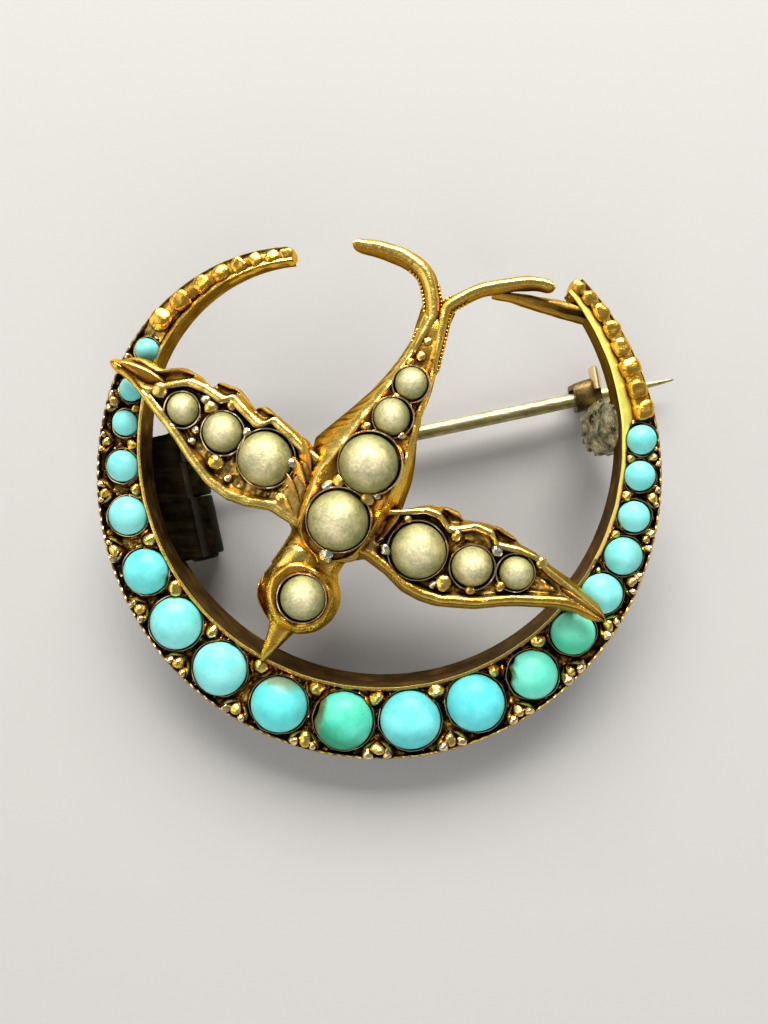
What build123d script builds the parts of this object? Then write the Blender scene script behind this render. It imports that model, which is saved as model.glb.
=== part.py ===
"""Crescent and swallow scatter pin, lying on its back fittings, in millimetres.

The face of the crescent is a plane, tilted as the brooch lies. Along that plane x runs to the
right and y towards the gap between the horns, and z stands out of the face. The origin is on
the surface that the brooch lies on, straight below the crescent's centre, with +Z up.
"""
from build123d import *
from math import asin, atan2, cos, degrees, hypot, radians, sin, sqrt, tan
import os

# Crescent
crescent_radius = 12.5
hole_radius = 10.57
hole_shift_x = 0.2
hole_shift_y = 1.4
left_horn_angle = 109.0
right_horn_angle = 403.0
bend_start_angle = 160.0
horn_bend = 1.6
wall_at_bottom = 2.3
wall_at_horns = 0.75
edge_step_angle = 14.0
lip_width = 0.3
lip_height = 0.15

# How it lies
rest_tilt = 12.0

# Stones
seat_clearance = 0.03
turquoise_seat_depth = 0.45
turquoise_girdle = 0.1
turquoise_dome = 0.6
pearl_seat_depth = 0.4
pearl_girdle = 0.08
pearl_dome = 0.7

# Swallow
wing_clearance = 0.2
wing_thickness = 0.8
wing_bevel = 0.28
wing_rim = 0.28
tray_depth = 0.25
left_wing_length = 9.9
left_wing_width = 3.4
left_wing_direction = 143.5
right_wing_length = 10.0
right_wing_width = 4.0
right_wing_direction = -17.5
body_length = 11.25
body_width = 4.6
body_direction = -115.7
body_floor = 0.35
body_height = 1.75
tail_height = 0.87
head_radius = 1.75
collar_radius = 1.32
head_height = 1.35
head_pearl_radius = 0.97
cheek_radius = 0.75
cheek_height = 0.95
beak_length = 3.85
beak_width = 1.0
beak_depth = 0.75
beak_tip_width = 0.25
beak_tip_depth = 0.3
beak_tip_height = 0.25
fork_length = 4.0
fork_width = 0.62
fork_lift = 0.15
fork_thickness = 0.7
fork_bevel = 0.12
link_width = 0.85
link_thickness = 0.7
link_sink = 0.1
pad_radius = 0.3
pad_sink = 0.1

# Pin and hinge
pin_angle = 11.0
pin_dip = 3.7
hinge_inset = 0.98
hinge_rise = 0.07
stem_radius = 0.35
stem_straight = 15.0
stem_overhang = 3.7
stem_point_length = 2.6
stem_neck_radius = 0.26
stem_tip_radius = 0.05
barrel_radius = 0.95
middle_knuckle_length = 1.6
upper_knuckle_length = 1.4
lower_knuckle_length = 2.85
knuckle_gap = 0.06
rivet_radius = 0.42
rivet_fit_gap = 0.03
running_gap = 0.05
rivet_head_radius = 0.66
rivet_head_thickness = 0.2
plate_reach_out = 2.6
plate_reach_in = 0.4
plate_sink = 0.1
web_width = 1.0
web_sink = 0.3

# Catch
catch_inset = 0.3
catch_width = 1.25
catch_strip = 0.24
catch_gap = 0.1
catch_channel = 0.96
catch_near_drop = 0.5
tab_length = 0.4
tab_width = 0.8
tab_rise = 0.35
solder_start = 0.2
solder_length = 1.55
solder_width = 2.4
solder_top_depth = 0.7
solder_lean = 0.75


def unit(angle):
    """Direction in the face plane at an angle in degrees."""
    return Vector(cos(radians(angle)), sin(radians(angle)), 0)


def horn_bend_at(angle):
    """How far the left horn is bent inwards at an angle."""
    if angle >= bend_start_angle:
        return 0.0
    share = (bend_start_angle - angle) / (bend_start_angle - left_horn_angle)
    return horn_bend * share**2


def outer_radius(angle):
    """Distance from the centre to the crescent's outer edge."""
    return crescent_radius - horn_bend_at(angle)


def inner_radius(angle):
    """Distance from the centre to the edge of the off-centre round hole."""
    along_ray = hole_shift_x * cos(radians(angle)) + hole_shift_y * sin(radians(angle))
    shift = hypot(hole_shift_x, hole_shift_y)
    return along_ray + sqrt(hole_radius**2 - shift**2 + along_ray**2) - horn_bend_at(angle)


def ring_point(angle, radius):
    """Point of the face plane at an angle and a distance from the centre."""
    return radius * cos(radians(angle)), radius * sin(radians(angle))


def ring_angles():
    """Angles of the points that both edges of the crescent are drawn through."""
    steps = round((right_horn_angle - left_horn_angle) / edge_step_angle)
    width = (right_horn_angle - left_horn_angle) / steps
    return [left_horn_angle + step * width for step in range(steps + 1)]


def wall_height(y):
    """Height of the crescent's wall, which tapers from the bottom to the horns."""
    share = (y + crescent_radius) / (2 * crescent_radius)
    return wall_at_bottom + (wall_at_horns - wall_at_bottom) * share


# The crescent's lowest edge touches the surface, which sets the height of its centre.
centre_height = crescent_radius * sin(radians(rest_tilt)) + wall_at_bottom * cos(radians(rest_tilt))
face_normal = (0, -sin(radians(rest_tilt)), cos(radians(rest_tilt)))
face = Plane(origin=(0, 0, centre_height), x_dir=(1, 0, 0), z_dir=face_normal)
on_floor = (Align.CENTER, Align.CENTER, Align.MIN)


def depth_to_surface(y):
    """Distance below the face, along its normal, at which the surface is met."""
    return (centre_height + y * sin(radians(rest_tilt))) / cos(radians(rest_tilt))


# Turquoises along the crescent, from the left horn round to the right one.
# Columns: angle, distance from the centre and radius, the last two as shares of the crescent's radius.
TURQUOISES = (
    (149.1, 0.915, 0.053),
    (158.4, 0.914, 0.050),
    (166.0, 0.902, 0.053),
    (175.7, 0.900, 0.059),
    (187.2, 0.893, 0.070),
    (200.8, 0.881, 0.085),
    (215.0, 0.880, 0.095),
    (229.9, 0.875, 0.098),
    (246.4, 0.875, 0.102),
    (262.3, 0.866, 0.106),
    (278.2, 0.863, 0.107),
    (294.3, 0.866, 0.102),
    (309.1, 0.884, 0.086),
    (322.3, 0.880, 0.077),
    (333.2, 0.890, 0.072),
    (342.7, 0.909, 0.065),
    (351.6, 0.914, 0.054),
    (360.4, 0.920, 0.055),
    (368.0, 0.938, 0.051),
)

# Beads along each horn, from the stones to the tip.
# Columns: angle, distance from the centre and radius, the last two as shares of the crescent's radius.
HORN_BEADS = (
    (141.9, 0.938, 0.040),
    (135.9, 0.926, 0.037),
    (130.1, 0.912, 0.036),
    (125.3, 0.898, 0.033),
    (120.9, 0.883, 0.030),
    (117.0, 0.871, 0.028),
    (113.2, 0.857, 0.027),
    (109.8, 0.846, 0.024),
    (373.8, 0.962, 0.036),
    (378.4, 0.962, 0.035),
    (383.0, 0.964, 0.034),
    (387.5, 0.968, 0.032),
    (391.5, 0.971, 0.030),
    (395.5, 0.972, 0.028),
    (399.1, 0.972, 0.026),
    (402.4, 0.968, 0.023),
)

# Pads of solder that hold the wing tips on the crescent. Columns: angle, distance as a share of its radius.
SOLDER_PADS = (
    (153.8, 0.880),
    (327.8, 0.806),
)

# Places in the face plane that the swallow is built from, as shares of the crescent's radius.
LEFT_WING_ROOT = (-0.232, -0.030)
RIGHT_WING_ROOT = (0.020, -0.205)
BODY_TAIL = (0.222, 0.545)
HEAD_CENTRE = (-0.252, -0.388)
COLLAR_CENTRE = (-0.230, -0.390)
LINK_START = (0.448, 0.624)
LINK_END_ANGLE = 396.8
BEAK_DIRECTION = 234.4
CHEEK_DIRECTION = 175.0

# Outline of a wing. Columns: distance from the root as a share of the wing's length, then the
# leading edge and the trailing edge as shares of its width. The trailing edge steps at each feather.
LEFT_WING = (
    (-0.06, -0.440, 0.500),
    (0.07, -0.455, 0.530),
    (0.16, -0.585, 0.560),
    (0.25, -0.668, 0.585),
    (0.345, -0.665, 0.602),
    (0.372, -0.650, 0.487),
    (0.48, -0.555, 0.584),
    (0.562, -0.460, 0.523),
    (0.578, -0.440, 0.384),
    (0.65, -0.375, 0.425),
    (0.73, -0.305, 0.400),
    (0.80, -0.247, 0.235),
    (0.88, -0.180, 0.210),
    (0.95, -0.125, 0.140),
    (1.01, -0.050, 0.030),
)
RIGHT_WING = (
    (-0.03, -0.230, 0.360),
    (0.07, -0.320, 0.410),
    (0.16, -0.415, 0.530),
    (0.245, -0.448, 0.571),
    (0.303, -0.448, 0.560),
    (0.325, -0.446, 0.488),
    (0.40, -0.405, 0.520),
    (0.483, -0.355, 0.530),
    (0.556, -0.280, 0.475),
    (0.585, -0.250, 0.419),
    (0.655, -0.195, 0.384),
    (0.746, -0.145, 0.287),
    (0.828, -0.124, 0.225),
    (0.905, -0.122, 0.130),
    (1.00, -0.110, -0.030),
)

# The stretch of a wing that is hollowed for its pearls, as shares of its length.
TRAY_START = 0.06
TRAY_END = 0.75

# Outline of the body, from the tail to the breast. Columns: distance along the body as a share
# of its length, then as shares of its width the left edge and the right edge at the foot, and
# the left and right edges at the top. Left is the side of the left wing.
BODY = (
    (-0.02, 0.155, 0.155, 0.050, 0.100),
    (0.10, 0.115, 0.180, 0.030, 0.150),
    (0.177, 0.140, 0.225, 0.056, 0.200),
    (0.26, 0.196, 0.260, 0.090, 0.238),
    (0.34, 0.265, 0.275, 0.128, 0.245),
    (0.43, 0.366, 0.320, 0.180, 0.285),
    (0.52, 0.475, 0.405, 0.230, 0.325),
    (0.59, 0.560, 0.450, 0.270, 0.337),
    (0.70, 0.500, 0.477, 0.337, 0.331),
    (0.81, 0.440, 0.410, 0.326, 0.320),
    (0.90, 0.370, 0.330, 0.281, 0.260),
    (0.96, 0.290, 0.250, 0.181, 0.150),
    (1.03, 0.240, 0.215, 0.100, 0.080),
)

# The body's back has risen to its full height at this share of its length from the tail.
BACK_SHARE = 0.6

# Pearls. Columns: distance along the piece, offset across it and radius, all as shares of the
# piece's length. The offset is towards the trailing edge of a wing, and to the right on the body.
LEFT_WING_PEARLS = (
    (0.208, -0.023, 0.118),
    (0.425, -0.009, 0.087),
    (0.623, 0.009, 0.070),
)
RIGHT_WING_PEARLS = (
    (0.182, 0.018, 0.118),
    (0.415, 0.023, 0.087),
    (0.601, 0.050, 0.072),
)
BODY_PEARLS = (
    (0.829, 0.000, 0.113),
    (0.590, 0.015, 0.110),
    (0.398, 0.018, 0.068),
    (0.256, 0.029, 0.060),
)

# Centre lines of the tail's two forks from the tail's root.
# Columns: x and y as shares of the fork's length, and half width as a share of the fork's width.
LEFT_FORK = (
    (-0.060, -0.280, 0.53),
    (0.006, 0.027, 0.60),
    (-0.022, 0.284, 0.60),
    (-0.093, 0.492, 0.60),
    (-0.289, 0.652, 0.60),
    (-0.548, 0.753, 0.54),
    (-0.799, 0.812, 0.34),
)
RIGHT_FORK = (
    (0.037, -0.005, 0.47),
    (0.226, 0.174, 0.46),
    (0.485, 0.290, 0.46),
    (0.742, 0.333, 0.46),
    (1.049, 0.354, 0.46),
    (1.273, 0.286, 0.39),
)


def along(root, direction, length, width):
    """Return a function that places points by distance along a piece and across it."""
    forward = unit(direction)
    across = unit(direction + 90)
    start = Vector(root[0] * crescent_radius, root[1] * crescent_radius, 0)

    def place(share, side):
        spot = start + forward * (share * length) + across * (side * width)
        return spot.X, spot.Y

    return place


def band_sketch(inner_points, outer_points):
    """Face between two smooth edges that run the same way."""
    with BuildSketch(face) as band:
        with BuildLine():
            inner = Spline(*inner_points)
            outer = Spline(*outer_points)
            Line(inner @ 0, outer @ 0)
            Line(inner @ 1, outer @ 1)
        make_face()
    return band.sketch


def crescent_outline():
    """Sketch of the whole crescent."""
    inner = [ring_point(angle, inner_radius(angle)) for angle in ring_angles()]
    outer = [ring_point(angle, outer_radius(angle)) for angle in ring_angles()]
    return band_sketch(inner, outer)


def lip_outline():
    """Sketch of the raised lip along the crescent's inner edge."""
    inner = [ring_point(angle, inner_radius(angle)) for angle in ring_angles()]
    outer = [ring_point(angle, inner_radius(angle) + lip_width) for angle in ring_angles()]
    return band_sketch(inner, outer)


def polygon(points, height):
    """Sketch of a closed polygon at a height over the face plane."""
    with BuildSketch(face.offset(height)) as shape:
        with BuildLine():
            Polyline(*points, close=True)
        make_face()
    return shape.sketch


def circle_at(centre, radius, height):
    """Sketch of a circle at a height over the face plane."""
    with BuildSketch(face.offset(height)) as shape:
        with Locations(centre):
            Circle(radius)
    return shape.sketch


def seat_plane(x, y, z):
    """Plane of a seat, parallel to the face."""
    return Plane(origin=face.from_local_coords((x, y, z)), x_dir=face.x_dir, z_dir=face.z_dir)


def cross_plane(x, y, z, direction, dip=0.0):
    """Plane across a direction of the face plane, which may dip away from the face."""
    forward = unit(direction) * cos(radians(dip)) - Vector(0, 0, sin(radians(dip)))
    across = unit(direction + 90)
    spot = face.from_local_coords((x, y, z))
    ahead = face.from_local_coords((x + forward.X, y + forward.Y, z + forward.Z))
    beside = face.from_local_coords((x + across.X, y + across.Y, z))
    return Plane(origin=spot, x_dir=beside - spot, z_dir=ahead - spot)


def wing_outline(place, rows, side, inset, width):
    """Outline of a wing, with its edges drawn in by an inset but never across each other."""
    leading = []
    trailing = []
    for share, lead, trail in rows:
        drawn_in = min(inset / width, 0.35 * (trail - lead))
        leading.append(place(share, side * (lead + drawn_in)))
        trailing.append(place(share, side * (trail - drawn_in)))
    return leading + trailing[::-1]


def add_wing(place, rows, side, width):
    """Add a wing with bevelled edges and a hollow for its pearls."""
    foot = polygon(wing_outline(place, rows, side, 0.0, width), wing_floor)
    crown = polygon(wing_outline(place, rows, side, wing_bevel, width), wing_top)
    loft(sections=[foot, crown], ruled=True)
    hollow_rows = [row for row in rows if TRAY_START < row[0] < TRAY_END]
    hollow = wing_outline(place, hollow_rows, side, wing_bevel + wing_rim, width)
    extrude(to_extrude=polygon(hollow, tray_floor), amount=2 * tray_depth, mode=Mode.SUBTRACT)


def body_rise(share):
    """Height of the body's back over its foot, lower towards the tail."""
    climbed = min(max(share, 0) / BACK_SHARE, 1)
    return tail_height + (body_height - tail_height) * climbed


def body_section(share, left_foot, right_foot, left_top, right_top):
    """Cross section of the body at one row of its table."""
    x, y = body_place(share, 0)
    top = body_floor + body_rise(share)
    with BuildSketch(cross_plane(x, y, 0, body_direction)) as section:
        with BuildLine():
            Polyline(
                (-left_foot * body_width, body_floor),
                (-left_top * body_width, top),
                (right_top * body_width, top),
                (right_foot * body_width, body_floor),
                close=True,
            )
        make_face()
    return section.sketch


def fork_outline(rows, inset):
    """Outline of one fork of the tail, round its centre line."""
    start = Vector(BODY_TAIL[0] * crescent_radius, BODY_TAIL[1] * crescent_radius, 0)
    spots = [start + Vector(x, y, 0) * fork_length for x, y, half_share in rows]
    left = []
    right = []
    for index, row in enumerate(rows):
        before = spots[max(index - 1, 0)]
        after = spots[min(index + 1, len(rows) - 1)]
        across = (after - before).normalized().rotate(Axis.Z, 90)
        half = row[2] * fork_width - inset
        left.append(spots[index] + across * half)
        right.append(spots[index] - across * half)
    return [(spot.X, spot.Y) for spot in left + right[::-1]]


def add_fork(rows):
    """Add one fork of the tail with bevelled edges."""
    floor = body_floor + fork_lift
    foot = polygon(fork_outline(rows, 0.0), floor)
    crown = polygon(fork_outline(rows, fork_bevel), floor + fork_thickness)
    loft(sections=[foot, crown], ruled=True)


def add_bar(start, end, start_size, end_size):
    """Add a straight tapered bar between two places of the face's space."""
    direction = degrees(atan2(end[1] - start[1], end[0] - start[0]))
    with BuildSketch(cross_plane(*start, direction)) as near:
        Rectangle(*start_size)
    with BuildSketch(cross_plane(*end, direction)) as far:
        Rectangle(*end_size)
    loft(sections=[near.sketch, far.sketch], ruled=True)


def cut_seat(x, y, z, radius, depth):
    """Cut the seat of one stone, down from a height over the face plane."""
    with Locations(seat_plane(x, y, z - depth)):
        Cylinder(radius + seat_clearance, depth + radius, align=on_floor, mode=Mode.SUBTRACT)


def stone_profile(plane, radius, depth, girdle, rise):
    """Half profile of a cabochon that stands in its seat."""
    ball = (radius**2 + rise**2) / (2 * rise)
    half_turn = asin(radius / ball) / 2
    shoulder = (ball * sin(half_turn), girdle + rise - ball * (1 - cos(half_turn)))
    upright = Plane(origin=plane.origin, x_dir=plane.x_dir, z_dir=-plane.y_dir)
    with BuildSketch(upright) as profile:
        with BuildLine():
            Line((0, -depth), (radius, -depth))
            Line((radius, -depth), (radius, girdle))
            ThreePointArc((radius, girdle), shoulder, (0, girdle + rise))
            Line((0, girdle + rise), (0, -depth))
        make_face()
    return profile.sketch


def write_stone(name, place, radius, seat_depth, girdle, dome):
    """Make one domed stone in its seat and write it."""
    plane = seat_plane(*place)
    profile = stone_profile(plane, radius, seat_depth - seat_clearance, girdle, dome * radius)
    with BuildPart() as stone:
        revolve(profiles=profile, axis=Axis(plane.origin, plane.z_dir))
    stone.part.label = name
    export_step(stone.part, f"parts/{name}.step")


def turquoise_places():
    """Place in the face's space and radius of each turquoise."""
    rows = []
    for angle, distance, radius in TURQUOISES:
        x, y = ring_point(angle, distance * crescent_radius)
        rows.append(((x, y, 0), radius * crescent_radius))
    return rows


def pearl_places():
    """Name, place in the face's space and radius of each pearl."""
    rows = []
    for number, (share, offset, radius) in enumerate(LEFT_WING_PEARLS, 1):
        x, y = left_place(share, offset * left_wing_length / left_wing_width)
        rows.append((f"pearl_left_wing_{number}", (x, y, tray_floor), radius * left_wing_length))
    for number, (share, offset, radius) in enumerate(RIGHT_WING_PEARLS, 1):
        x, y = right_place(share, offset * right_wing_length / right_wing_width)
        rows.append((f"pearl_right_wing_{number}", (x, y, tray_floor), radius * right_wing_length))
    for number, (share, offset, radius) in enumerate(BODY_PEARLS, 1):
        x, y = body_place(share, offset * body_length / body_width)
        top = body_floor + body_rise(share)
        rows.append((f"pearl_body_{number}", (x, y, top), radius * body_length))
    rows.append(("pearl_head", (*collar_centre, head_top), head_pearl_radius))
    return rows


# The swallow stands clear of the stones that its wing tips cross.
widest_covered_stone = TURQUOISES[13][2] * crescent_radius
wing_floor = turquoise_girdle + turquoise_dome * widest_covered_stone + wing_clearance
wing_top = wing_floor + wing_thickness
tray_floor = wing_top - tray_depth
head_top = body_floor + head_height
left_place = along(LEFT_WING_ROOT, left_wing_direction, left_wing_length, left_wing_width)
right_place = along(RIGHT_WING_ROOT, right_wing_direction, right_wing_length, right_wing_width)
body_place = along(BODY_TAIL, body_direction, body_length, body_width)
head_centre = (HEAD_CENTRE[0] * crescent_radius, HEAD_CENTRE[1] * crescent_radius)
collar_centre = (COLLAR_CENTRE[0] * crescent_radius, COLLAR_CENTRE[1] * crescent_radius)

# The hinge stands inside the left wall of the crescent and the catch inside its right wall.
hinge_x = hinge_inset - inner_radius(180)
right_wall_angle = 380.0
catch_x = inner_radius(right_wall_angle) * cos(radians(right_wall_angle)) - catch_inset
catch_reach = (catch_x - hinge_x) / cos(radians(pin_angle))


def pin_spot(reach, side):
    """Point of the face plane by distance along the pin from its hinge, and across the pin."""
    spot = Vector(hinge_x, hinge_rise, 0) + unit(pin_angle) * reach + unit(pin_angle + 90) * side
    return spot.X, spot.Y


def pin_rectangle(near, far, low, high):
    """Corners of a rectangle that is square to the pin."""
    return [pin_spot(near, low), pin_spot(far, low), pin_spot(far, high), pin_spot(near, high)]


# The lower end of the hinge's barrel touches the surface.
upper_knuckle_start = middle_knuckle_length / 2 + knuckle_gap
upper_knuckle_end = upper_knuckle_start + upper_knuckle_length
lower_knuckle_end = upper_knuckle_start + lower_knuckle_length
barrel_low_y = pin_spot(0, -lower_knuckle_end)[1]
hinge_depth = depth_to_surface(barrel_low_y) - barrel_radius
barrel = cross_plane(*pin_spot(0, 0), -hinge_depth, pin_angle + 90)

# The stem dips from the hinge to the catch, whose toe touches the surface.
stem_depth = hinge_depth + catch_reach * tan(radians(pin_dip))
near_side = stem_neck_radius + catch_gap
far_side = catch_channel - near_side
toe_low_y = pin_spot(catch_reach - catch_width / 2, near_side)[1]
toe_drop = depth_to_surface(toe_low_y) - stem_depth

os.makedirs("parts", exist_ok=True)

with BuildPart() as gold_mount:
    # Crescent, with a back that slopes from the deep bottom to the thin horns
    extrude(to_extrude=crescent_outline(), amount=-2 * wall_at_bottom)
    back_low = face.from_local_coords((0, -crescent_radius, -wall_at_bottom))
    back_high = face.from_local_coords((0, crescent_radius, -wall_at_horns))
    back_rise = back_high - back_low
    back = Plane(origin=back_low, x_dir=(1, 0, 0), z_dir=Vector(1, 0, 0).cross(back_rise))
    split(bisect_by=back, keep=Keep.TOP)
    extrude(to_extrude=lip_outline(), amount=lip_height)
    for angle, distance, radius in HORN_BEADS:
        x, y = ring_point(angle, distance * crescent_radius)
        with Locations(seat_plane(x, y, 0)):
            Sphere(radius * crescent_radius)

    # Swallow
    add_wing(left_place, LEFT_WING, -1, left_wing_width)
    add_wing(right_place, RIGHT_WING, 1, right_wing_width)
    loft(sections=[body_section(*row) for row in BODY], ruled=True)
    head_foot = circle_at(head_centre, head_radius, body_floor)
    collar = circle_at(collar_centre, collar_radius, head_top)
    loft(sections=[head_foot, collar], ruled=True)
    cheek = Vector(*head_centre, 0) + unit(CHEEK_DIRECTION) * (head_radius - cheek_radius / 2)
    with Locations(seat_plane(cheek.X, cheek.Y, body_floor)):
        Cone(cheek_radius, cheek_radius / 2, cheek_height, align=on_floor)
    beak_tip = Vector(*collar_centre, 0) + unit(BEAK_DIRECTION) * beak_length
    add_bar(
        (*collar_centre, body_floor + beak_depth / 2),
        (beak_tip.X, beak_tip.Y, beak_tip_height),
        (beak_width, beak_depth),
        (beak_tip_width, beak_tip_depth),
    )
    add_fork(LEFT_FORK)
    add_fork(RIGHT_FORK)
    link_start = (LINK_START[0] * crescent_radius, LINK_START[1] * crescent_radius)
    link_end = ring_point(LINK_END_ANGLE, inner_radius(LINK_END_ANGLE) + lip_width)
    link_middle = link_thickness / 2 - link_sink
    add_bar(
        (*link_start, link_middle),
        (*link_end, link_middle),
        (link_width / 2, link_thickness),
        (link_width, link_thickness),
    )
    for angle, distance in SOLDER_PADS:
        x, y = ring_point(angle, distance * crescent_radius)
        with Locations(seat_plane(x, y, -pad_sink)):
            Cylinder(pad_radius, wing_floor + 2 * pad_sink, align=on_floor)

    # Seats of the stones
    for (x, y, z), radius in turquoise_places():
        cut_seat(x, y, z, radius, turquoise_seat_depth)
    for name, (x, y, z), radius in pearl_places():
        cut_seat(x, y, z, radius, pearl_seat_depth)

    # Hinge plate on the crescent's back, and the two outer knuckles that hang from it
    plate_bottom = -(hinge_depth - barrel_radius - knuckle_gap)
    plate_top = plate_sink - wall_height(upper_knuckle_end)
    plate = pin_rectangle(-plate_reach_out, plate_reach_in, -lower_knuckle_end, upper_knuckle_end)
    extrude(to_extrude=polygon(plate, plate_bottom), amount=plate_top - plate_bottom)
    web_bottom = -(hinge_depth - barrel_radius + web_sink)
    half_web = web_width / 2
    knuckles = (
        (upper_knuckle_start, upper_knuckle_length),
        (-lower_knuckle_end, lower_knuckle_length),
    )
    for start, length in knuckles:
        web = pin_rectangle(-half_web, half_web, start, start + length)
        extrude(to_extrude=polygon(web, web_bottom), amount=plate_top - web_bottom)
        with Locations(barrel.offset(start)):
            Cylinder(barrel_radius, length, align=on_floor)
            Cylinder(rivet_radius + rivet_fit_gap, length, align=on_floor, mode=Mode.SUBTRACT)

    # Catch: a strip bent over the stem, with a toe that the springy stem passes sideways
    catch_plane = cross_plane(*pin_spot(catch_reach - catch_width / 2, 0), -stem_depth, pin_angle)
    with BuildSketch(catch_plane):
        with BuildLine():
            Polyline(
                (-near_side - catch_strip, -catch_near_drop),
                (-near_side - catch_strip, near_side + catch_strip),
                (far_side + catch_strip, near_side + catch_strip),
                (far_side + catch_strip, -toe_drop),
                (near_side, -toe_drop),
                (near_side, catch_strip - toe_drop),
                (far_side, catch_strip - toe_drop),
                (far_side, near_side),
                (-near_side, near_side),
                (-near_side, -catch_near_drop),
                close=True,
            )
        make_face()
    extrude(amount=catch_width)
    tab_start = catch_reach + catch_width / 2 - tab_length
    tab = pin_rectangle(tab_start, tab_start + tab_length, far_side, far_side + tab_width)
    extrude(to_extrude=polygon(tab, near_side - stem_depth), amount=catch_strip + tab_rise)

    # Lump of solder from the crescent's wall down to the catch
    lump_near = catch_reach - catch_width / 2 - solder_start
    lump_high = -near_side - catch_strip / 2
    lump_foot = pin_rectangle(lump_near, lump_near + solder_length, lump_high - solder_width, lump_high)
    lump_near = lump_near + solder_lean
    lump_crown = pin_rectangle(lump_near, lump_near + solder_length, lump_high - solder_width, lump_high)
    loft(
        sections=[polygon(lump_foot, near_side - stem_depth), polygon(lump_crown, -solder_top_depth)],
        ruled=True,
    )

gold_mount.part.label = "gold_mount"
export_step(gold_mount.part, "parts/gold_mount.step")

with BuildPart() as hinge_rivet:
    rivet_start = -lower_knuckle_end - rivet_fit_gap
    rivet_length = upper_knuckle_end + rivet_fit_gap - rivet_start
    with Locations(barrel.offset(rivet_start)):
        Cylinder(rivet_radius, rivet_length, align=on_floor)
    with Locations(barrel.offset(rivet_start - rivet_head_thickness), barrel.offset(rivet_start + rivet_length)):
        Cylinder(rivet_head_radius, rivet_head_thickness, align=on_floor)

hinge_rivet.part.label = "hinge_rivet"
export_step(hinge_rivet.part, "parts/hinge_rivet.step")

with BuildPart() as pin_stem:
    stem = cross_plane(*pin_spot(0, 0), -hinge_depth, pin_angle, pin_dip)
    stem_start = (rivet_radius + running_gap + barrel_radius) / 2
    stem_end = catch_reach + catch_width / 2 + stem_overhang
    neck_start = stem_start + stem_straight
    point_start = stem_end - stem_point_length
    with Locations(barrel.offset(-middle_knuckle_length / 2)):
        Cylinder(barrel_radius, middle_knuckle_length, align=on_floor)
        Cylinder(rivet_radius + running_gap, middle_knuckle_length, align=on_floor, mode=Mode.SUBTRACT)
    with Locations(stem.offset(stem_start)):
        Cylinder(stem_radius, stem_straight, align=on_floor)
    with Locations(stem.offset(neck_start)):
        Cone(stem_radius, stem_neck_radius, point_start - neck_start, align=on_floor)
    with Locations(stem.offset(point_start)):
        Cone(stem_neck_radius, stem_tip_radius, stem_point_length, align=on_floor)

pin_stem.part.label = "pin_stem"
export_step(pin_stem.part, "parts/pin_stem.step")

for number, (place, radius) in enumerate(turquoise_places(), 1):
    name = f"turquoise_{number:02d}"
    write_stone(name, place, radius, turquoise_seat_depth, turquoise_girdle, turquoise_dome)

for name, place, radius in pearl_places():
    write_stone(name, place, radius, pearl_seat_depth, pearl_girdle, pearl_dome)
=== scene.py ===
"""Looks of the crescent and swallow scatter pin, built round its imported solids.

Shapes are worked out in millimetres in the space of the crescent's face: x to the right, y towards
the gap between the horns and z out of the face. world() turns them into metres in the row frame.
"""
from collections import namedtuple
from math import cos, hypot, pi, radians, sin, tan

import bmesh
import bpy
import numpy as np
from mathutils import Matrix, Vector

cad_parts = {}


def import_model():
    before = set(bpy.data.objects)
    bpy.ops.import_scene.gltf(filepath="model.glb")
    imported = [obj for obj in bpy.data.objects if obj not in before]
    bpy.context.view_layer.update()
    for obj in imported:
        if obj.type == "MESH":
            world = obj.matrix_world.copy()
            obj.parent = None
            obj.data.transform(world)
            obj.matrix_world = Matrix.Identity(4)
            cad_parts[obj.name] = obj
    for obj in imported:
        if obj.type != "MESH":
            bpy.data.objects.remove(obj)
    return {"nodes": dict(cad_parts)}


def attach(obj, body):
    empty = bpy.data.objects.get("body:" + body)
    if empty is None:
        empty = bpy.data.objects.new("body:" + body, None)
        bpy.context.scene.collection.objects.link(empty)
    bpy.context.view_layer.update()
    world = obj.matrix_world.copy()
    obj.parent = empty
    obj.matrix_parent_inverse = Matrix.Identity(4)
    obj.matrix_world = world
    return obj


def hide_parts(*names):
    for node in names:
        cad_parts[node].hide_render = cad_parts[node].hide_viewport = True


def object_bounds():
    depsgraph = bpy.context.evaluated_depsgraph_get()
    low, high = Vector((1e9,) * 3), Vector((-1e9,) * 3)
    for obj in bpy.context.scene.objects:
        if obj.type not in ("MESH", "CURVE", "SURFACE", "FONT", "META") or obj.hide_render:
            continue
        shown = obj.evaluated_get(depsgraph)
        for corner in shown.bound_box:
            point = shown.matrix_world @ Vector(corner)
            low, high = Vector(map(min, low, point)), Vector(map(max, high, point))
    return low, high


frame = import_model()
cad_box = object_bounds()

MM = 0.001

# Crescent
CRESCENT_RADIUS = 12.5
HOLE_RADIUS = 10.57
HOLE_SHIFT_X = 0.2
HOLE_SHIFT_Y = 1.4
LEFT_HORN = 109.0
RIGHT_HORN = 403.0
HORN_BEND_START = 160.0
HORN_BEND = 1.6
WALL_AT_BOTTOM = 2.3
WALL_AT_HORNS = 0.75
LIP_RIDGE = 0.17
BAND_START = 340.0
BAND_ANGLES = (109.0, 125.0, 146.0, 371.0, 385.0, 398.0, 403.0)
BAND_WIDTHS = (0.20, 0.26, 0.22, 0.50, 0.52, 0.36, 0.22)
LEFT_STONES_START = 146.0
RIGHT_STONES_END = 371.0
HORN_BLEND = 2.5
RING_STEPS = 1200
BED_DEPTH = 0.27
MOAT_DEPTH = 0.42
MOAT_WIDTH = 0.1
COLLAR_OFFSET = 0.16
COLLAR_WIDTH = 0.05
MILLING_PITCH = 0.42
OUTER_EDGE = 0.13
SMALLEST_GRAIN = 0.08
STONE_TO_EDGE = 0.2
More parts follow.
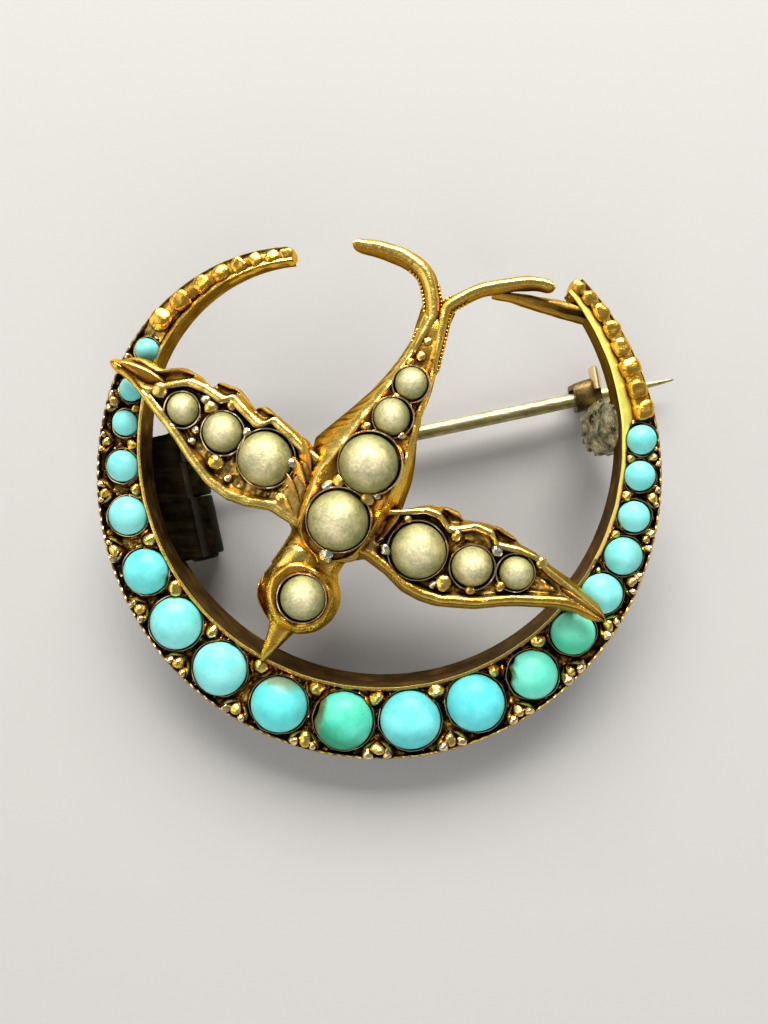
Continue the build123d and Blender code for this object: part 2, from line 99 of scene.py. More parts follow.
MOST_SHORT = 0.26
WALL_COVER = 0.06
REST_TILT = radians(12.0)
CENTRE_HEIGHT = CRESCENT_RADIUS * sin(REST_TILT) + WALL_AT_BOTTOM * cos(REST_TILT)

# Swallow
WING_FLOOR = 0.88
WING_TOP = 1.68
TRAY_DEPTH = 0.38
LEFT_WING_ROOT = (-2.9, -0.375)
LEFT_WING_DIRECTION = 143.5
LEFT_WING_LENGTH = 9.9
LEFT_WING_WIDTH = 3.4
RIGHT_WING_ROOT = (0.25, -2.5625)
RIGHT_WING_DIRECTION = -17.5
RIGHT_WING_LENGTH = 10.0
RIGHT_WING_WIDTH = 4.0
TAIL_ROOT = (2.775, 6.8125)
BODY_DIRECTION = -115.7
BODY_LENGTH = 11.25
BODY_WIDTH = 4.6
BODY_FLOOR = 0.35
BODY_HEIGHT = 1.75
TAIL_HEIGHT = 0.87
BACK_SHARE = 0.6
SHOULDER_FLOOR = 0.5
SHOULDER_TOP = 1.25
HEAD_CENTRE = (-2.95, -4.88)
HEAD_FLOOR = 0.35
HEAD_TOP = 1.7
FORK_LENGTH = 4.0
FORK_FLOOR = 0.5
FORK_TOP = 1.2

# Pin, hinge and catch
PIN_ANGLE = 11.0
PIN_DIP = 3.7
HINGE = (-9.296875, 0.07)
HINGE_DEPTH = 3.24774
BARREL_RADIUS = 0.95
MIDDLE_KNUCKLE = 1.6
UPPER_KNUCKLE = 1.4
LOWER_KNUCKLE = 2.85
KNUCKLE_GAP = 0.06
RIVET_RADIUS = 0.42
RIVET_HEAD_RADIUS = 0.66
RIVET_HEAD_THICKNESS = 0.2
CATCH_REACH = 19.851
CATCH_WIDTH = 1.25
CATCH_STRIP = 0.24
NEAR_SIDE = 0.36
FAR_SIDE = 0.60
TAB_LENGTH = 0.4
TAB_WIDTH = 0.8
TAB_HEIGHT = 0.62
STEM_OVERHANG = 3.7
STEM_DEPTH = HINGE_DEPTH + CATCH_REACH * tan(radians(PIN_DIP))
TOE_Y = (HINGE[1] + (CATCH_REACH - CATCH_WIDTH / 2) * sin(radians(PIN_ANGLE))
         + NEAR_SIDE * cos(radians(PIN_ANGLE)))
TOE_DROP = (CENTRE_HEIGHT + TOE_Y * sin(REST_TILT)) / cos(REST_TILT) - STEM_DEPTH

# Solder, floor and camera. The camera's place and directions are in the row frame.
SOLDER_HALF_LENGTH = 0.84
SOLDER_HALF_WIDTH = 1.25
FLOOR_HALF = 0.4
CAMERA_PLACE = (2.847, -6.488, 33.101 + CENTRE_HEIGHT)
CAMERA_RIGHT = (0.99755, 0.0, -0.070)
CAMERA_BACK = (0.06919, -0.1524, 0.986)
CAMERA_LENS = 27.0


def world(points):
    """Points of the face's space, in millimetres, as points of the row frame in metres."""
    x, y, z = np.asarray(points, float).reshape(-1, 3).T
    turned_y = y * cos(REST_TILT) - z * sin(REST_TILT)
    turned_z = y * sin(REST_TILT) + z * cos(REST_TILT) + CENTRE_HEIGHT
    return np.stack([x, turned_y, turned_z], axis=1) * MM


def face_space(node):
    """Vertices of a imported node, in millimetres in the face's space."""
    points = np.array([vertex.co for vertex in frame["nodes"][node].data.vertices]) / MM
    x, y, z = points.T
    z = z - CENTRE_HEIGHT
    back_y = y * cos(REST_TILT) + z * sin(REST_TILT)
    back_z = z * cos(REST_TILT) - y * sin(REST_TILT)
    return np.stack([x, back_y, back_z], axis=1)


Stone = namedtuple("Stone", "x y radius low high")


def stone_place(node):
    """Centre, radius, foot and top of a domed stone."""
    points = face_space(node)
    low = points.min(axis=0)
    high = points.max(axis=0)
    x, y, _ = (low + high) / 2
    return Stone(x, y, (high[0] - low[0]) / 2, low[2], high[2])


TURQUOISE_NODES = [f"turquoise_{number:02d}" for number in range(1, 20)]
PEARL_NODES = (
    [f"pearl_left_wing_{number}" for number in (1, 2, 3)]
    + [f"pearl_right_wing_{number}" for number in (1, 2, 3)]
    + [f"pearl_body_{number}" for number in (1, 2, 3, 4)]
    + ["pearl_head"]
)
PLACES = {node: stone_place(node) for node in TURQUOISE_NODES + PEARL_NODES}


def keep_off_lip():
    """Move the turquoises that reach onto the crescent's lip outwards and shrink them a little."""
    for node in TURQUOISE_NODES:
        x, y, radius, low, high = PLACES[node]
        distance = hypot(x, y)
        room = distance - radius - float(inner_radius(np.array([ring_angle(x, y)]))[0])
        short = min(max(0.0, STONE_TO_EDGE - room), MOST_SHORT)
        growth = (distance + short * 0.5) / distance
        PLACES[node] = Stone(x * growth, y * growth, radius - short * 0.5, low, high)


def unit(angle):
    """Direction in the face plane at an angle in degrees."""
    return np.array([cos(radians(angle)), sin(radians(angle))])


def smooth_step(value, low, high):
    """Rise smoothly from 0 at low to 1 at high."""
    share = np.clip((value - low) / (high - low), 0, 1)
    return share * share * (3 - 2 * share)


def ripple(points, size, seed):
    """Smooth unevenness between about -1 and 1, with bumps of about a given size."""
    points = np.asarray(points, float)
    random = np.random.default_rng(seed)
    waves = 9
    total = np.zeros(len(points))
    for _ in range(waves):
        direction = random.normal(size=points.shape[1])
        direction /= np.linalg.norm(direction)
        length = size * random.uniform(1.2, 2.6)
        total += np.sin(points @ direction * 2 * pi / length + random.uniform(0, 2 * pi))
    return total / waves**0.5


def make_piece(name, points, faces, materials, body, indices, crease):
    """Make a mesh piece from points of the face's space and let it ride on a body."""
    mesh = bpy.data.meshes.new(name)
    mesh.from_pydata([tuple(point) for point in np.clip(world(points), *cad_box)], [], faces)
    for material in materials:
        mesh.materials.append(material)
    if indices is not None:
        mesh.polygons.foreach_set("material_index", indices)
    work = bmesh.new()
    work.from_mesh(mesh)
    bmesh.ops.recalc_face_normals(work, faces=work.faces)
    work.to_mesh(mesh)
    work.free()
    mesh.polygons.foreach_set("use_smooth", [True] * len(mesh.polygons))
    mesh.set_sharp_from_angle(angle=radians(crease))
    piece = bpy.data.objects.new(name, mesh)
    bpy.context.scene.collection.objects.link(piece)
    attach(piece, body)
    return piece


def loft_faces(rows, columns, start=0, closed=False):
    """Faces of a tube of closed rows, bent round into a ring or else with a cap at each end."""
    faces = []
    for row in range(rows if closed else rows - 1):
        low = start + row * columns
        high = start + (row + 1) % rows * columns
        for column in range(columns):
            beside = (column + 1) % columns
            faces.append((low + column, low + beside, high + beside, high + column))
    if not closed:
        last = start + (rows - 1) * columns
        faces.append(tuple(range(start, start + columns))[::-1])
        faces.append(tuple(range(last, last + columns)))
    return faces


def make_lofts(name, lofts, materials, body="mount", crease=38, closed=False, looks=None):
    """Make one piece of lofts, each of closed rows. Looks are numbers of materials along a row."""
    points = []
    faces = []
    for rows in lofts:
        faces += loft_faces(*np.shape(rows)[:2], sum(len(part) for part in points), closed)
        points.append(np.reshape(rows, (-1, 3)))
    indices = None
    if looks:
        indices = looks * (len(lofts[0]) - 1) + [looks[0]] * 2
    return make_piece(name, np.concatenate(points), faces, materials, body, indices, crease)


class Strip:
    """Columns of a long piece, each with a distance across it, a height and a look."""

    def __init__(self):
        self.columns = []
        self.looks = []

    def add(self, across, height, look):
        """Add the next column."""
        self.columns.append((across, height))
        self.looks.append(look)

    def rows(self, spots):
        """Rows of points, where spots turns distances across into points of the face plane."""
        columns = []
        for across, height in self.columns:
            flat = spots(across)
            columns.append(np.column_stack([flat, height + np.zeros(len(flat))]))
        return np.stack(columns, axis=1)


def roughen(rows, *waves, above=-np.inf, along=(1, 1, 1)):
    """Rows made uneven above a height. Each wave has a height, the size of its bumps and a seed."""
    flat = np.array(rows, float).reshape(-1, 3)
    push = sum(amount * ripple(flat, size, seed) for amount, size, seed in waves)
    flat += (push * (flat[:, 2] > above))[:, None] * along
    return flat.reshape(np.shape(rows))


def lathe(centre, profile, turns, normal=(0, 0, 1)):
    """Closed surface of revolution about an axis: profile rows are (radius, height)."""
    centre = np.asarray(centre, float)
    axis = np.asarray(normal, float)
    axis = axis / np.linalg.norm(axis)
    side = np.cross(axis, [0, 0, 1.0] if abs(axis[2]) < 0.9 else [0, 1.0, 0])
    side = side / np.linalg.norm(side)
    other = np.cross(axis, side)
    turn = np.linspace(0, 2 * pi, turns, endpoint=False)
    around = np.outer(np.cos(turn), side) + np.outer(np.sin(turn), other)
    rows = [centre + axis * height + around * radius for radius, height in profile]
    return np.array(rows)


# Materials

# Direction out of the crescent's face, in the row frame
FACE_NORMAL = (0.0, -sin(REST_TILT), cos(REST_TILT))


def add_node(tree, kind, inputs):
    """Add a node, link the inputs that are sockets and set the others."""
    node = tree.nodes.new(kind)
    feed(tree, node, inputs)
    return node


def feed(tree, node, inputs):
    """Link the inputs of a node that are sockets and set the others."""
    for key, value in inputs.items():
        if isinstance(value, bpy.types.NodeSocket):
            tree.links.new(value, node.inputs[key])
        else:
            node.inputs[key].default_value = value


def new_material(name):
    """Make an empty node material and return it with its tree, shader and coordinates."""
    material = bpy.data.materials.new(name)
    material.use_nodes = True
    tree = material.node_tree
    shader = tree.nodes["Principled BSDF"]
    place = tree.nodes.new("ShaderNodeTexCoord").outputs["Object"]
    return material, tree, shader, place


def noise_node(tree, place, size_mm, detail=3.0, rough=0.6):
    """Noise with patches of about a given size in millimetres."""
    inputs = {"Vector": place, "Scale": 1 / (size_mm * MM), "Detail": detail, "Roughness": rough}
    return add_node(tree, "ShaderNodeTexNoise", inputs).outputs["Fac"]


def ramp_node(tree, factor, stops):
    """Colour ramp. Columns of stops: position and colour."""
    node = add_node(tree, "ShaderNodeValToRGB", {"Fac": factor})
    ramp = node.color_ramp
    while len(ramp.elements) < len(stops):
        ramp.elements.new(0.5)
    for element, (position, colour) in zip(ramp.elements, stops):
        element.position = position
        element.color = (*colour, 1)
    return node.outputs["Color"]


def math_node(tree, operation, first, second):
    """Join two values, each a socket or a number."""
    node = add_node(tree, "ShaderNodeMath", {0: first, 1: second})
    node.operation = operation
    return node.outputs["Value"]


def sum_node(tree, first, first_share, second, second_share):
    """Sum of shares of two sockets."""
    return math_node(tree, "ADD", math_node(tree, "MULTIPLY", first, first_share),
                     math_node(tree, "MULTIPLY", second, second_share))


def mix_node(tree, factor, first, second, blend="MIX"):
    """Mix two colours, each a socket or a colour, by a socket or a number."""
    node = tree.nodes.new("ShaderNodeMix")
    node.data_type = "RGBA"
    node.blend_type = blend
    inputs = {0: factor, 6: first, 7: second}
    for key in (6, 7):
        if isinstance(inputs[key], tuple):
            inputs[key] = (*inputs[key], 1)
    feed(tree, node, inputs)
    return node.outputs[2]


def range_node(tree, value, low, high, start=0.0, end=1.0):
    """Stretch a value that runs from start to end to run between two numbers."""
    inputs = {"Value": value, "From Min": start, "From Max": end, "To Min": low, "To Max": high}
    return add_node(tree, "ShaderNodeMapRange", inputs).outputs["Result"]


def bump_node(tree, shader, height, strength, distance_mm):
    """Bump the shader's surface by a height."""
    inputs = {"Height": height, "Strength": strength, "Distance": distance_mm * MM}
    node = add_node(tree, "ShaderNodeBump", inputs)
    tree.links.new(node.outputs["Normal"], shader.inputs["Normal"])


def dot_node(tree, vector, direction):
    """Length of a vector along a direction."""
    node = add_node(tree, "ShaderNodeVectorMath", {0: vector, 1: direction})
    node.operation = "DOT_PRODUCT"
    return node.outputs["Value"]


def axis_node(tree, vector, axis):
    """One coordinate of a vector."""
    return add_node(tree, "ShaderNodeSeparateXYZ", {"Vector": vector}).outputs[axis]


def map_node(tree, vector, key, value):
    """A vector turned or scaled."""
    return add_node(tree, "ShaderNodeMapping", {"Vector": vector, key: value}).outputs["Vector"]


def streaks(tree, place, turn, size_mm, stretch):
    """Noise drawn out along one direction, as filing and graving leave it."""
    inputs = {"Vector": place, "Rotation": (0, 0, radians(turn)), "Scale": (1 / stretch, 1, 1)}
    node = add_node(tree, "ShaderNodeMapping", inputs)
    return noise_node(tree, node.outputs["Vector"], size_mm)


def gold_material(name, recess, middle, worn, reach_mm, rough, bump_mm, painted_shade_heights=None, painted_shade_floor=0.25,
                  metal=1.0, before=None):
    """Worn gold, bright where it is worn. Its recesses are darkened by ambient occlusion, which paints
    shade there along with some patina.

    painted_shade_heights holds where painted shade darkens it downwards and clears, in millimetres
    of the face's space, and painted_shade_floor its share at the lower height. Before holds the
    colours of another gold that it fades in from, and the fade's start and end along y.
    """
    material, tree, shader, place = new_material(name)
    # Painted shade, with some patina: darker where ambient occlusion finds the surface hemmed in.
    shade = add_node(tree, "ShaderNodeAmbientOcclusion", {"Distance": reach_mm * MM})
    shade.samples = 8
    blotch = noise_node(tree, place, 0.55, 4.0)
    speck = noise_node(tree, place, 0.11, 4.0)
    scratch = streaks(tree, place, 35, 0.06, 9)
    open_air = math_node(tree, "POWER", shade.outputs["AO"], 1.7)
    spread = math_node(tree, "MULTIPLY", range_node(tree, blotch, 0.48, 1.42), open_air)
    spread = math_node(tree, "MULTIPLY", range_node(tree, speck, 0.66, 1.30), spread)
    # Painted shade: darker towards the foot, down to the painted shade floor share at the lower height.
    if painted_shade_heights:
        low, high = ((height + CENTRE_HEIGHT * cos(REST_TILT)) * MM for height in painted_shade_heights)
        share = range_node(tree, dot_node(tree, place, FACE_NORMAL), 0.0, 1.0, low, high)
        spread = math_node(tree, "MULTIPLY", spread, range_node(tree, share, painted_shade_floor, 1.0))
    colour = ramp_node(tree, spread, ((0.06, recess), (0.40, middle), (0.86, worn)))
    if before:
        stops, start, end = before
        share = range_node(tree, axis_node(tree, place, "Y"), 0.0, 1.0, start * MM, end * MM)
        colour = mix_node(tree, share, ramp_node(tree, spread, stops), colour)
    wear = sum_node(tree, speck, 0.5, scratch, 0.5)
    feed(tree, shader, {
        "Base Color": colour,
        "Metallic": metal,
        "Specular Tint": (0.90, 0.63, 0.25, 1),
        "Roughness": range_node(tree, wear, *rough),
    })
    dents = sum_node(tree, noise_node(tree, place, 0.45), 1.0, wear, 0.30)
    bump_node(tree, shader, dents, 0.9, bump_mm)
    return material


def edge_tint(tree, place, stone, direction, start, end):
    """Share of a tint that grows towards one side of a stone."""
    radius = stone.radius
    foot, tip, middle = world([(0, 0, 0), (*unit(direction), 0), (stone.x, stone.y, stone.high)])
    toward = (tip - foot) / MM
    middle = float(np.dot(middle, toward))
    wobble = math_node(tree, "MULTIPLY", noise_node(tree, place, 0.5), 0.5 * radius * MM)
    reach = math_node(tree, "ADD", dot_node(tree, place, tuple(toward)), wobble)
    share = add_node(tree, "ShaderNodeMapRange", {
        "Value": reach,
        "From Min": middle + start * radius * MM,
        "From Max": middle + end * radius * MM,
    })
    share.interpolation_type = "SMOOTHSTEP"
    return share.outputs["Result"]


def turquoise_material(name, node, deep, pale):
    """Polished turquoise with soft clouds and small pits, and on some stones a side tint, which on a few
    is painted shade.
    """
    material, tree, shader, place = new_material(name)
    stone = PLACES[node]
    cloud = noise_node(tree, place, 1.1, 3.0, 0.55)
    grit = noise_node(tree, place, 0.1)
    blend = math_node(tree, "ADD", cloud, math_node(tree, "MULTIPLY", grit, 0.14))
    colour = ramp_node(tree, blend, ((0.40, deep), (0.72, pale)))
    for tinted, tint, direction, start, end in STONE_TINTS_AND_SHADE:
        if tinted == node:
            side = edge_tint(tree, place, stone, direction, start, end)
            colour = mix_node(tree, side, colour, tint)
    pits = ramp_node(tree, noise_node(tree, place, 0.16, 2.0, 0.4),
                     ((0.70, (0, 0, 0)), (0.76, (0.5, 0.5, 0.5))))
    feed(tree, shader, {
        "Base Color": mix_node(tree, pits, colour, tuple(0.45 * value for value in deep)),
        "Roughness": range_node(tree, grit, 0.32, 0.50),
        "Specular IOR Level": 0.22,
        "Coat Weight": 0.05,
        "Coat Roughness": 0.15,
        "Subsurface Weight": 0.2,
        "Subsurface Radius": (0.0002, 0.0004, 0.0004),
    })
    bump_node(tree, shader, math_node(tree, "ADD", grit, cloud), 0.3, 0.012)
    return material


def pearl_material(name):
    """Greyish cream nacre with a silky gloss, and painted shade that greens and darkens it round its foot.
    """
    material, tree, shader, place = new_material(name)
    silk = noise_node(tree, place, 0.12, 5.0, 0.75)
    blend = sum_node(tree, noise_node(tree, place, 0.7), 0.7, silk, 0.7)
    stops = ((0.48, (0.28, 0.27, 0.14)), (0.66, (0.46, 0.43, 0.245)), (0.86, (0.74, 0.63, 0.38)))
    rim_shade_stops = ((0.10, (0.15, 0.18, 0.08)), (0.68, (0.58, 0.60, 0.40)), (0.96, (1.0, 1.0, 1.0)))
    # Painted shade: darker and greener round the foot, where the surface turns away from the face.
    normal = tree.nodes.new("ShaderNodeNewGeometry").outputs["Normal"]
    foot = ramp_node(tree, dot_node(tree, normal, FACE_NORMAL), rim_shade_stops)
    feed(tree, shader, {
        "Base Color": mix_node(tree, 1.0, ramp_node(tree, blend, stops), foot, "MULTIPLY"),
        "Roughness": range_node(tree, silk, 0.37, 0.62),
        "Metallic": 0.42,
    })
    bump_node(tree, shader, silk, 0.9, 0.045)
    return material


def plain_metal(name, dark, bright, rough, bump_mm, streak_turn=None, streak_mm=0.12, contrast=0.5,
                grit_mm=0.09):
    """Drawn or cast plain metal with stains and fine streaks."""
    material, tree, shader, place = new_material(name)
    stain = noise_node(tree, place, 0.9, 4.0)
    if streak_turn is None:
        grit = noise_node(tree, place, grit_mm, 4.0, 0.7)
    else:
        grit = streaks(tree, place, streak_turn, streak_mm, 12)
    blend = sum_node(tree, stain, 1 - contrast, grit, contrast)
    feed(tree, shader, {
        "Base Color": ramp_node(tree, blend, ((0.36, dark), (0.66, bright))),
        "Metallic": 1.0,
        "Roughness": range_node(tree, grit, *rough),
    })
    bump_node(tree, shader, grit, 0.6, bump_mm)
    return material


def wall_material(name):
    """Olive brown patina on the crescent's walls, with fine streaks along them."""
    material, tree, shader, place = new_material(name)
    flat_place = map_node(tree, place, "Rotation", (-REST_TILT, 0, 0))
    lines = noise_node(tree, map_node(tree, flat_place, "Scale", (0.25, 0.25, 2.2)), 0.28, 4.0, 0.7)
    blend = sum_node(tree, lines, 0.6, noise_node(tree, place, 1.2, 4.0), 0.4)
    stops = ((0.38, (0.016, 0.009, 0.003)), (0.52, (0.070, 0.038, 0.010)), (0.68, (0.26, 0.145, 0.035)))
    gilt_stops = ((0.36, (0.08, 0.035, 0.005)), (0.52, (0.30, 0.16, 0.025)), (0.66, (0.72, 0.46, 0.11)))
    horns = range_node(tree, axis_node(tree, flat_place, "Y"), 0.0, 1.0, 2.5 * MM, 5.5 * MM)
    right = range_node(tree, axis_node(tree, flat_place, "X"), 0.0, 0.75, 5.0 * MM, 10.0 * MM)
    gilt = mix_node(tree, right, ramp_node(tree, blend, gilt_stops), (0.09, 0.042, 0.010))
    feed(tree, shader, {
        "Base Color": mix_node(tree, horns, ramp_node(tree, blend, stops), gilt),
        "Metallic": range_node(tree, horns, 0.6, 1.0),
        "Specular IOR Level": 0.08,
        "Specular Tint": (0.80, 0.60, 0.34, 1),
        "Roughness": range_node(tree, lines, 0.34, 0.6),
    })
    bump_node(tree, shader, blend, 0.8, 0.03)
    return material


GOLD = gold_material("worn_gold", (0.022, 0.009, 0.0015), (0.42, 0.175, 0.012), (0.98, 0.58, 0.09),
                     0.4, (0.15, 0.40), 0.05)
GOLD_BED = gold_material("bed_gold", (0.007, 0.0045, 0.0015), (0.13, 0.075, 0.015), (0.66, 0.44, 0.12),
                         0.28, (0.20, 0.48), 0.05)
# Lighter gold for rims, ridges, grains, the lip and upper flanks: wear along with painted highlight.
GOLD_BRIGHT = gold_material("bright_gold_wear_and_highlight", (0.06, 0.026, 0.003), (0.64, 0.33, 0.034), (1.0, 0.74, 0.18),
                            0.25, (0.15, 0.40), 0.04)
# Band round the right horn: lighter, less metallic gold that paints a highlight, fading in from a duller
# gold lower on the ring.
GOLD_BAND = gold_material("band_gold_painted_highlight", (0.14, 0.07, 0.008), (0.74, 0.52, 0.06), (1.0, 0.94, 0.20),
                          0.16, (0.28, 0.50), 0.03, metal=0.7,
                          before=(((0.06, (0.06, 0.026, 0.003)), (0.40, (0.56, 0.29, 0.03)),
                                   (0.86, (0.95, 0.64, 0.14))), -2.6, 1.2))
# Pale gold; on the pearl cups it paints the bright highlight line round each pearl.
GOLD_PALE = gold_material("pale_gold", (0.05, 0.022, 0.006), (0.56, 0.34, 0.11), (1.0, 0.82, 0.48),
                          0.2, (0.14, 0.34), 0.03)
GOLD_FLANK = gold_material("shaded_gold", (0.016, 0.008, 0.003), (0.25, 0.12, 0.016), (0.78, 0.46, 0.08),
                           0.5, (0.20, 0.48), 0.05, (0.35, 1.55), 0.10)
# Brown gold for the trailing flanks, wing tips, some leaves and the link's sides: painted shade and a
# painted dark reflection.
GOLD_BROWN = gold_material("brown_gold_painted_shade", (0.015, 0.007, 0.002), (0.17, 0.085, 0.013), (0.58, 0.34, 0.07),
                           0.4, (0.22, 0.5), 0.04)
# Gold of the forks' sides, darker towards their foot: painted shade and a painted dark reflection.
GOLD_TAIL = gold_material("tail_gold", (0.018, 0.008, 0.002), (0.26, 0.12, 0.014), (0.74, 0.44, 0.08),
                          0.3, (0.24, 0.5), 0.03, (0.5, 1.15), 0.15)
# Gold of the link's top, with a painted highlight, darker towards its low end under the right horn:
# painted shade.
GOLD_LINK = gold_material("link_gold", (0.018, 0.009, 0.003), (0.24, 0.12, 0.016), (0.90, 0.60, 0.14),
                          0.3, (0.24, 0.5), 0.04, (0.0, 0.75), 0.08)
GOLD_DARK = wall_material("patinated_gold")
# Near-black bronze of the hinge, its rivet and the pin's knuckle: dark bronze with painted shade.
BRONZE_PAINTED_SHADE = plain_metal("hinge_bronze_painted_shade", (0.004, 0.0035, 0.002), (0.040, 0.031, 0.013), (0.40, 0.70), 0.03,
                     -101, 0.3)
CATCH_BRONZE = plain_metal("catch_bronze", (0.035, 0.022, 0.008), (0.24, 0.165, 0.06), (0.3, 0.55), 0.03)
STEEL = plain_metal("pin_steel", (0.34, 0.30, 0.12), (0.84, 0.74, 0.34), (0.30, 0.5), 0.008, -11, 0.08)
SOLDER = plain_metal("solder", (0.010, 0.007, 0.002), (0.86, 0.77, 0.46), (0.08, 0.36), 0.32,
                     contrast=0.85, grit_mm=0.5)
PEARL = pearl_material("half_pearl")

SILVERY = gold_material("silvery_solder", (0.07, 0.05, 0.03), (0.50, 0.42, 0.28), (0.95, 0.88, 0.68),
                        0.2, (0.16, 0.36), 0.04)

# Colours of the turquoises that differ from the rest. Columns: deep colour and pale colour.
BLUE_STONE = ((0.105, 0.43, 0.41), (0.195, 0.54, 0.52))
STONE_COLOURS = {
    "turquoise_06": ((0.075, 0.43, 0.41), (0.140, 0.54, 0.52)),
    "turquoise_09": ((0.060, 0.42, 0.41), (0.110, 0.53, 0.52)),
    "turquoise_10": ((0.045, 0.38, 0.25), (0.095, 0.50, 0.38)),
    "turquoise_11": ((0.080, 0.42, 0.42), (0.145, 0.53, 0.53)),
    "turquoise_12": ((0.060, 0.42, 0.44), (0.110, 0.51, 0.53)),
    "turquoise_13": ((0.075, 0.45, 0.32), (0.145, 0.55, 0.42)),
    # turquoise_14 is brighter than the rest, painted light against the wing tip's shadow on it.
    "turquoise_14": ((0.110, 0.54, 0.36), (0.190, 0.68, 0.48)),
}

# Second colours of some turquoises, and painted shade: the turquoise_14 row darkens its lower side,
# and the first turquoise_10 row is partly painted shade. Columns: node, colour, direction of the
# side in degrees, then where the tint starts and is full, as shares of the stone's radius.
STONE_TINTS_AND_SHADE = (
    ("turquoise_09", (0.16, 0.26, 0.15), 80.0, 0.80, 1.15),
    # The stone's own greener colour with painted shade towards its lower left.
    ("turquoise_10", (0.012, 0.21, 0.11), -120.0, 0.10, 0.95),
    ("turquoise_10", (0.09, 0.12, 0.045), 165.0, 0.90, 1.08),
    ("turquoise_13", (0.06, 0.10, 0.045), 175.0, 0.94, 1.12),
    # Painted shade: darker towards the stone's lower side.
    ("turquoise_14", (0.045, 0.36, 0.21), -100.0, 0.0, 0.9),
    ("turquoise_16", (0.13, 0.38, 0.34), 20.0, 0.2, 0.9),
)


# Crescent

def horn_bend_at(angles):
    """How far the left horn is bent inwards."""
    share = np.clip((HORN_BEND_START - angles) / (HORN_BEND_START - LEFT_HORN), 0, None)
    return HORN_BEND * share**2


def outer_radius(angles):
    """Distance from the centre to the crescent's outer edge."""
    return CRESCENT_RADIUS - horn_bend_at(angles)


def inner_radius(angles):
    """Distance from the centre to the edge of the off-centre round hole."""
    along_ray = HOLE_SHIFT_X * np.cos(np.radians(angles)) + HOLE_SHIFT_Y * np.sin(np.radians(angles))
    shift = hypot(HOLE_SHIFT_X, HOLE_SHIFT_Y)
    return along_ray + np.sqrt(HOLE_RADIUS**2 - shift**2 + along_ray**2) - horn_bend_at(angles)


def wall_height(y):
    """Height of the crescent's wall, which tapers from the bottom to the horns."""
    share = (y + CRESCENT_RADIUS) / (2 * CRESCENT_RADIUS)
    return WALL_AT_BOTTOM + (WALL_AT_HORNS - WALL_AT_BOTTOM) * share


def horn_share(angles):
    """1 on the horns and 0 along the stones."""
    left = smooth_step(LEFT_STONES_START - angles, -HORN_BLEND, HORN_BLEND)
    right = smooth_step(angles - RIGHT_STONES_END, -HORN_BLEND, HORN_BLEND)
    return np.maximum(left, right)


# Beads along each horn, from the stones to the tip.
# Columns: angle, distance from the centre and radius, the last two as shares of the crescent's radius.
HORN_BEADS = (
    (141.9, 0.944, 0.036),
    (135.9, 0.932, 0.034),
    (130.1, 0.917, 0.032),
    (125.3, 0.903, 0.030),
    (120.9, 0.887, 0.028),
    (117.0, 0.874, 0.026),
    (113.2, 0.859, 0.024),
    (109.8, 0.847, 0.022),
    (373.8, 0.962, 0.035),
    (378.4, 0.962, 0.034),
    (383.0, 0.964, 0.033),
    (387.5, 0.968, 0.031),
    (391.5, 0.971, 0.029),
    (395.5, 0.972, 0.027),
    (399.1, 0.972, 0.025),
    (402.4, 0.968, 0.022),
)


def bead_places():
    """Centre and radius of each bead on the horns."""
    return [(*(unit(angle) * distance * CRESCENT_RADIUS), radius * CRESCENT_RADIUS)
            for angle, distance, radius in HORN_BEADS]


def gap_to_stone(node, x, y):
    """Distance in the face plane from points to the edge of a stone."""
    stone = PLACES[node]
    return np.hypot(x - stone.x, y - stone.y) - stone.radius


def bed_height(x, y):
    """Height of the crescent's bed between its lip and its outer edge."""
    flat = np.stack([x, y], axis=1)
    height = -BED_DEPTH + 0.05 * ripple(flat, 0.3, 3) + 0.025 * ripple(flat, 0.12, 4)
    gap = np.min([gap_to_stone(node, x, y) for node in TURQUOISE_NODES], axis=0)
    height += (BED_DEPTH * 0.9) * np.exp(-((gap - COLLAR_OFFSET) / COLLAR_WIDTH) ** 2)
    sunk = 1 - smooth_step(gap, MOAT_WIDTH * 0.5, MOAT_WIDTH * 1.15)
    return height * (1 - sunk) - MOAT_DEPTH * sunk


# Numbers of the crescent's materials, in the order that its mesh holds them
RING_BED, RING_WALL, RING_WORN_AND_LIT, RING_BAND, RING_SLOPE = range(5)


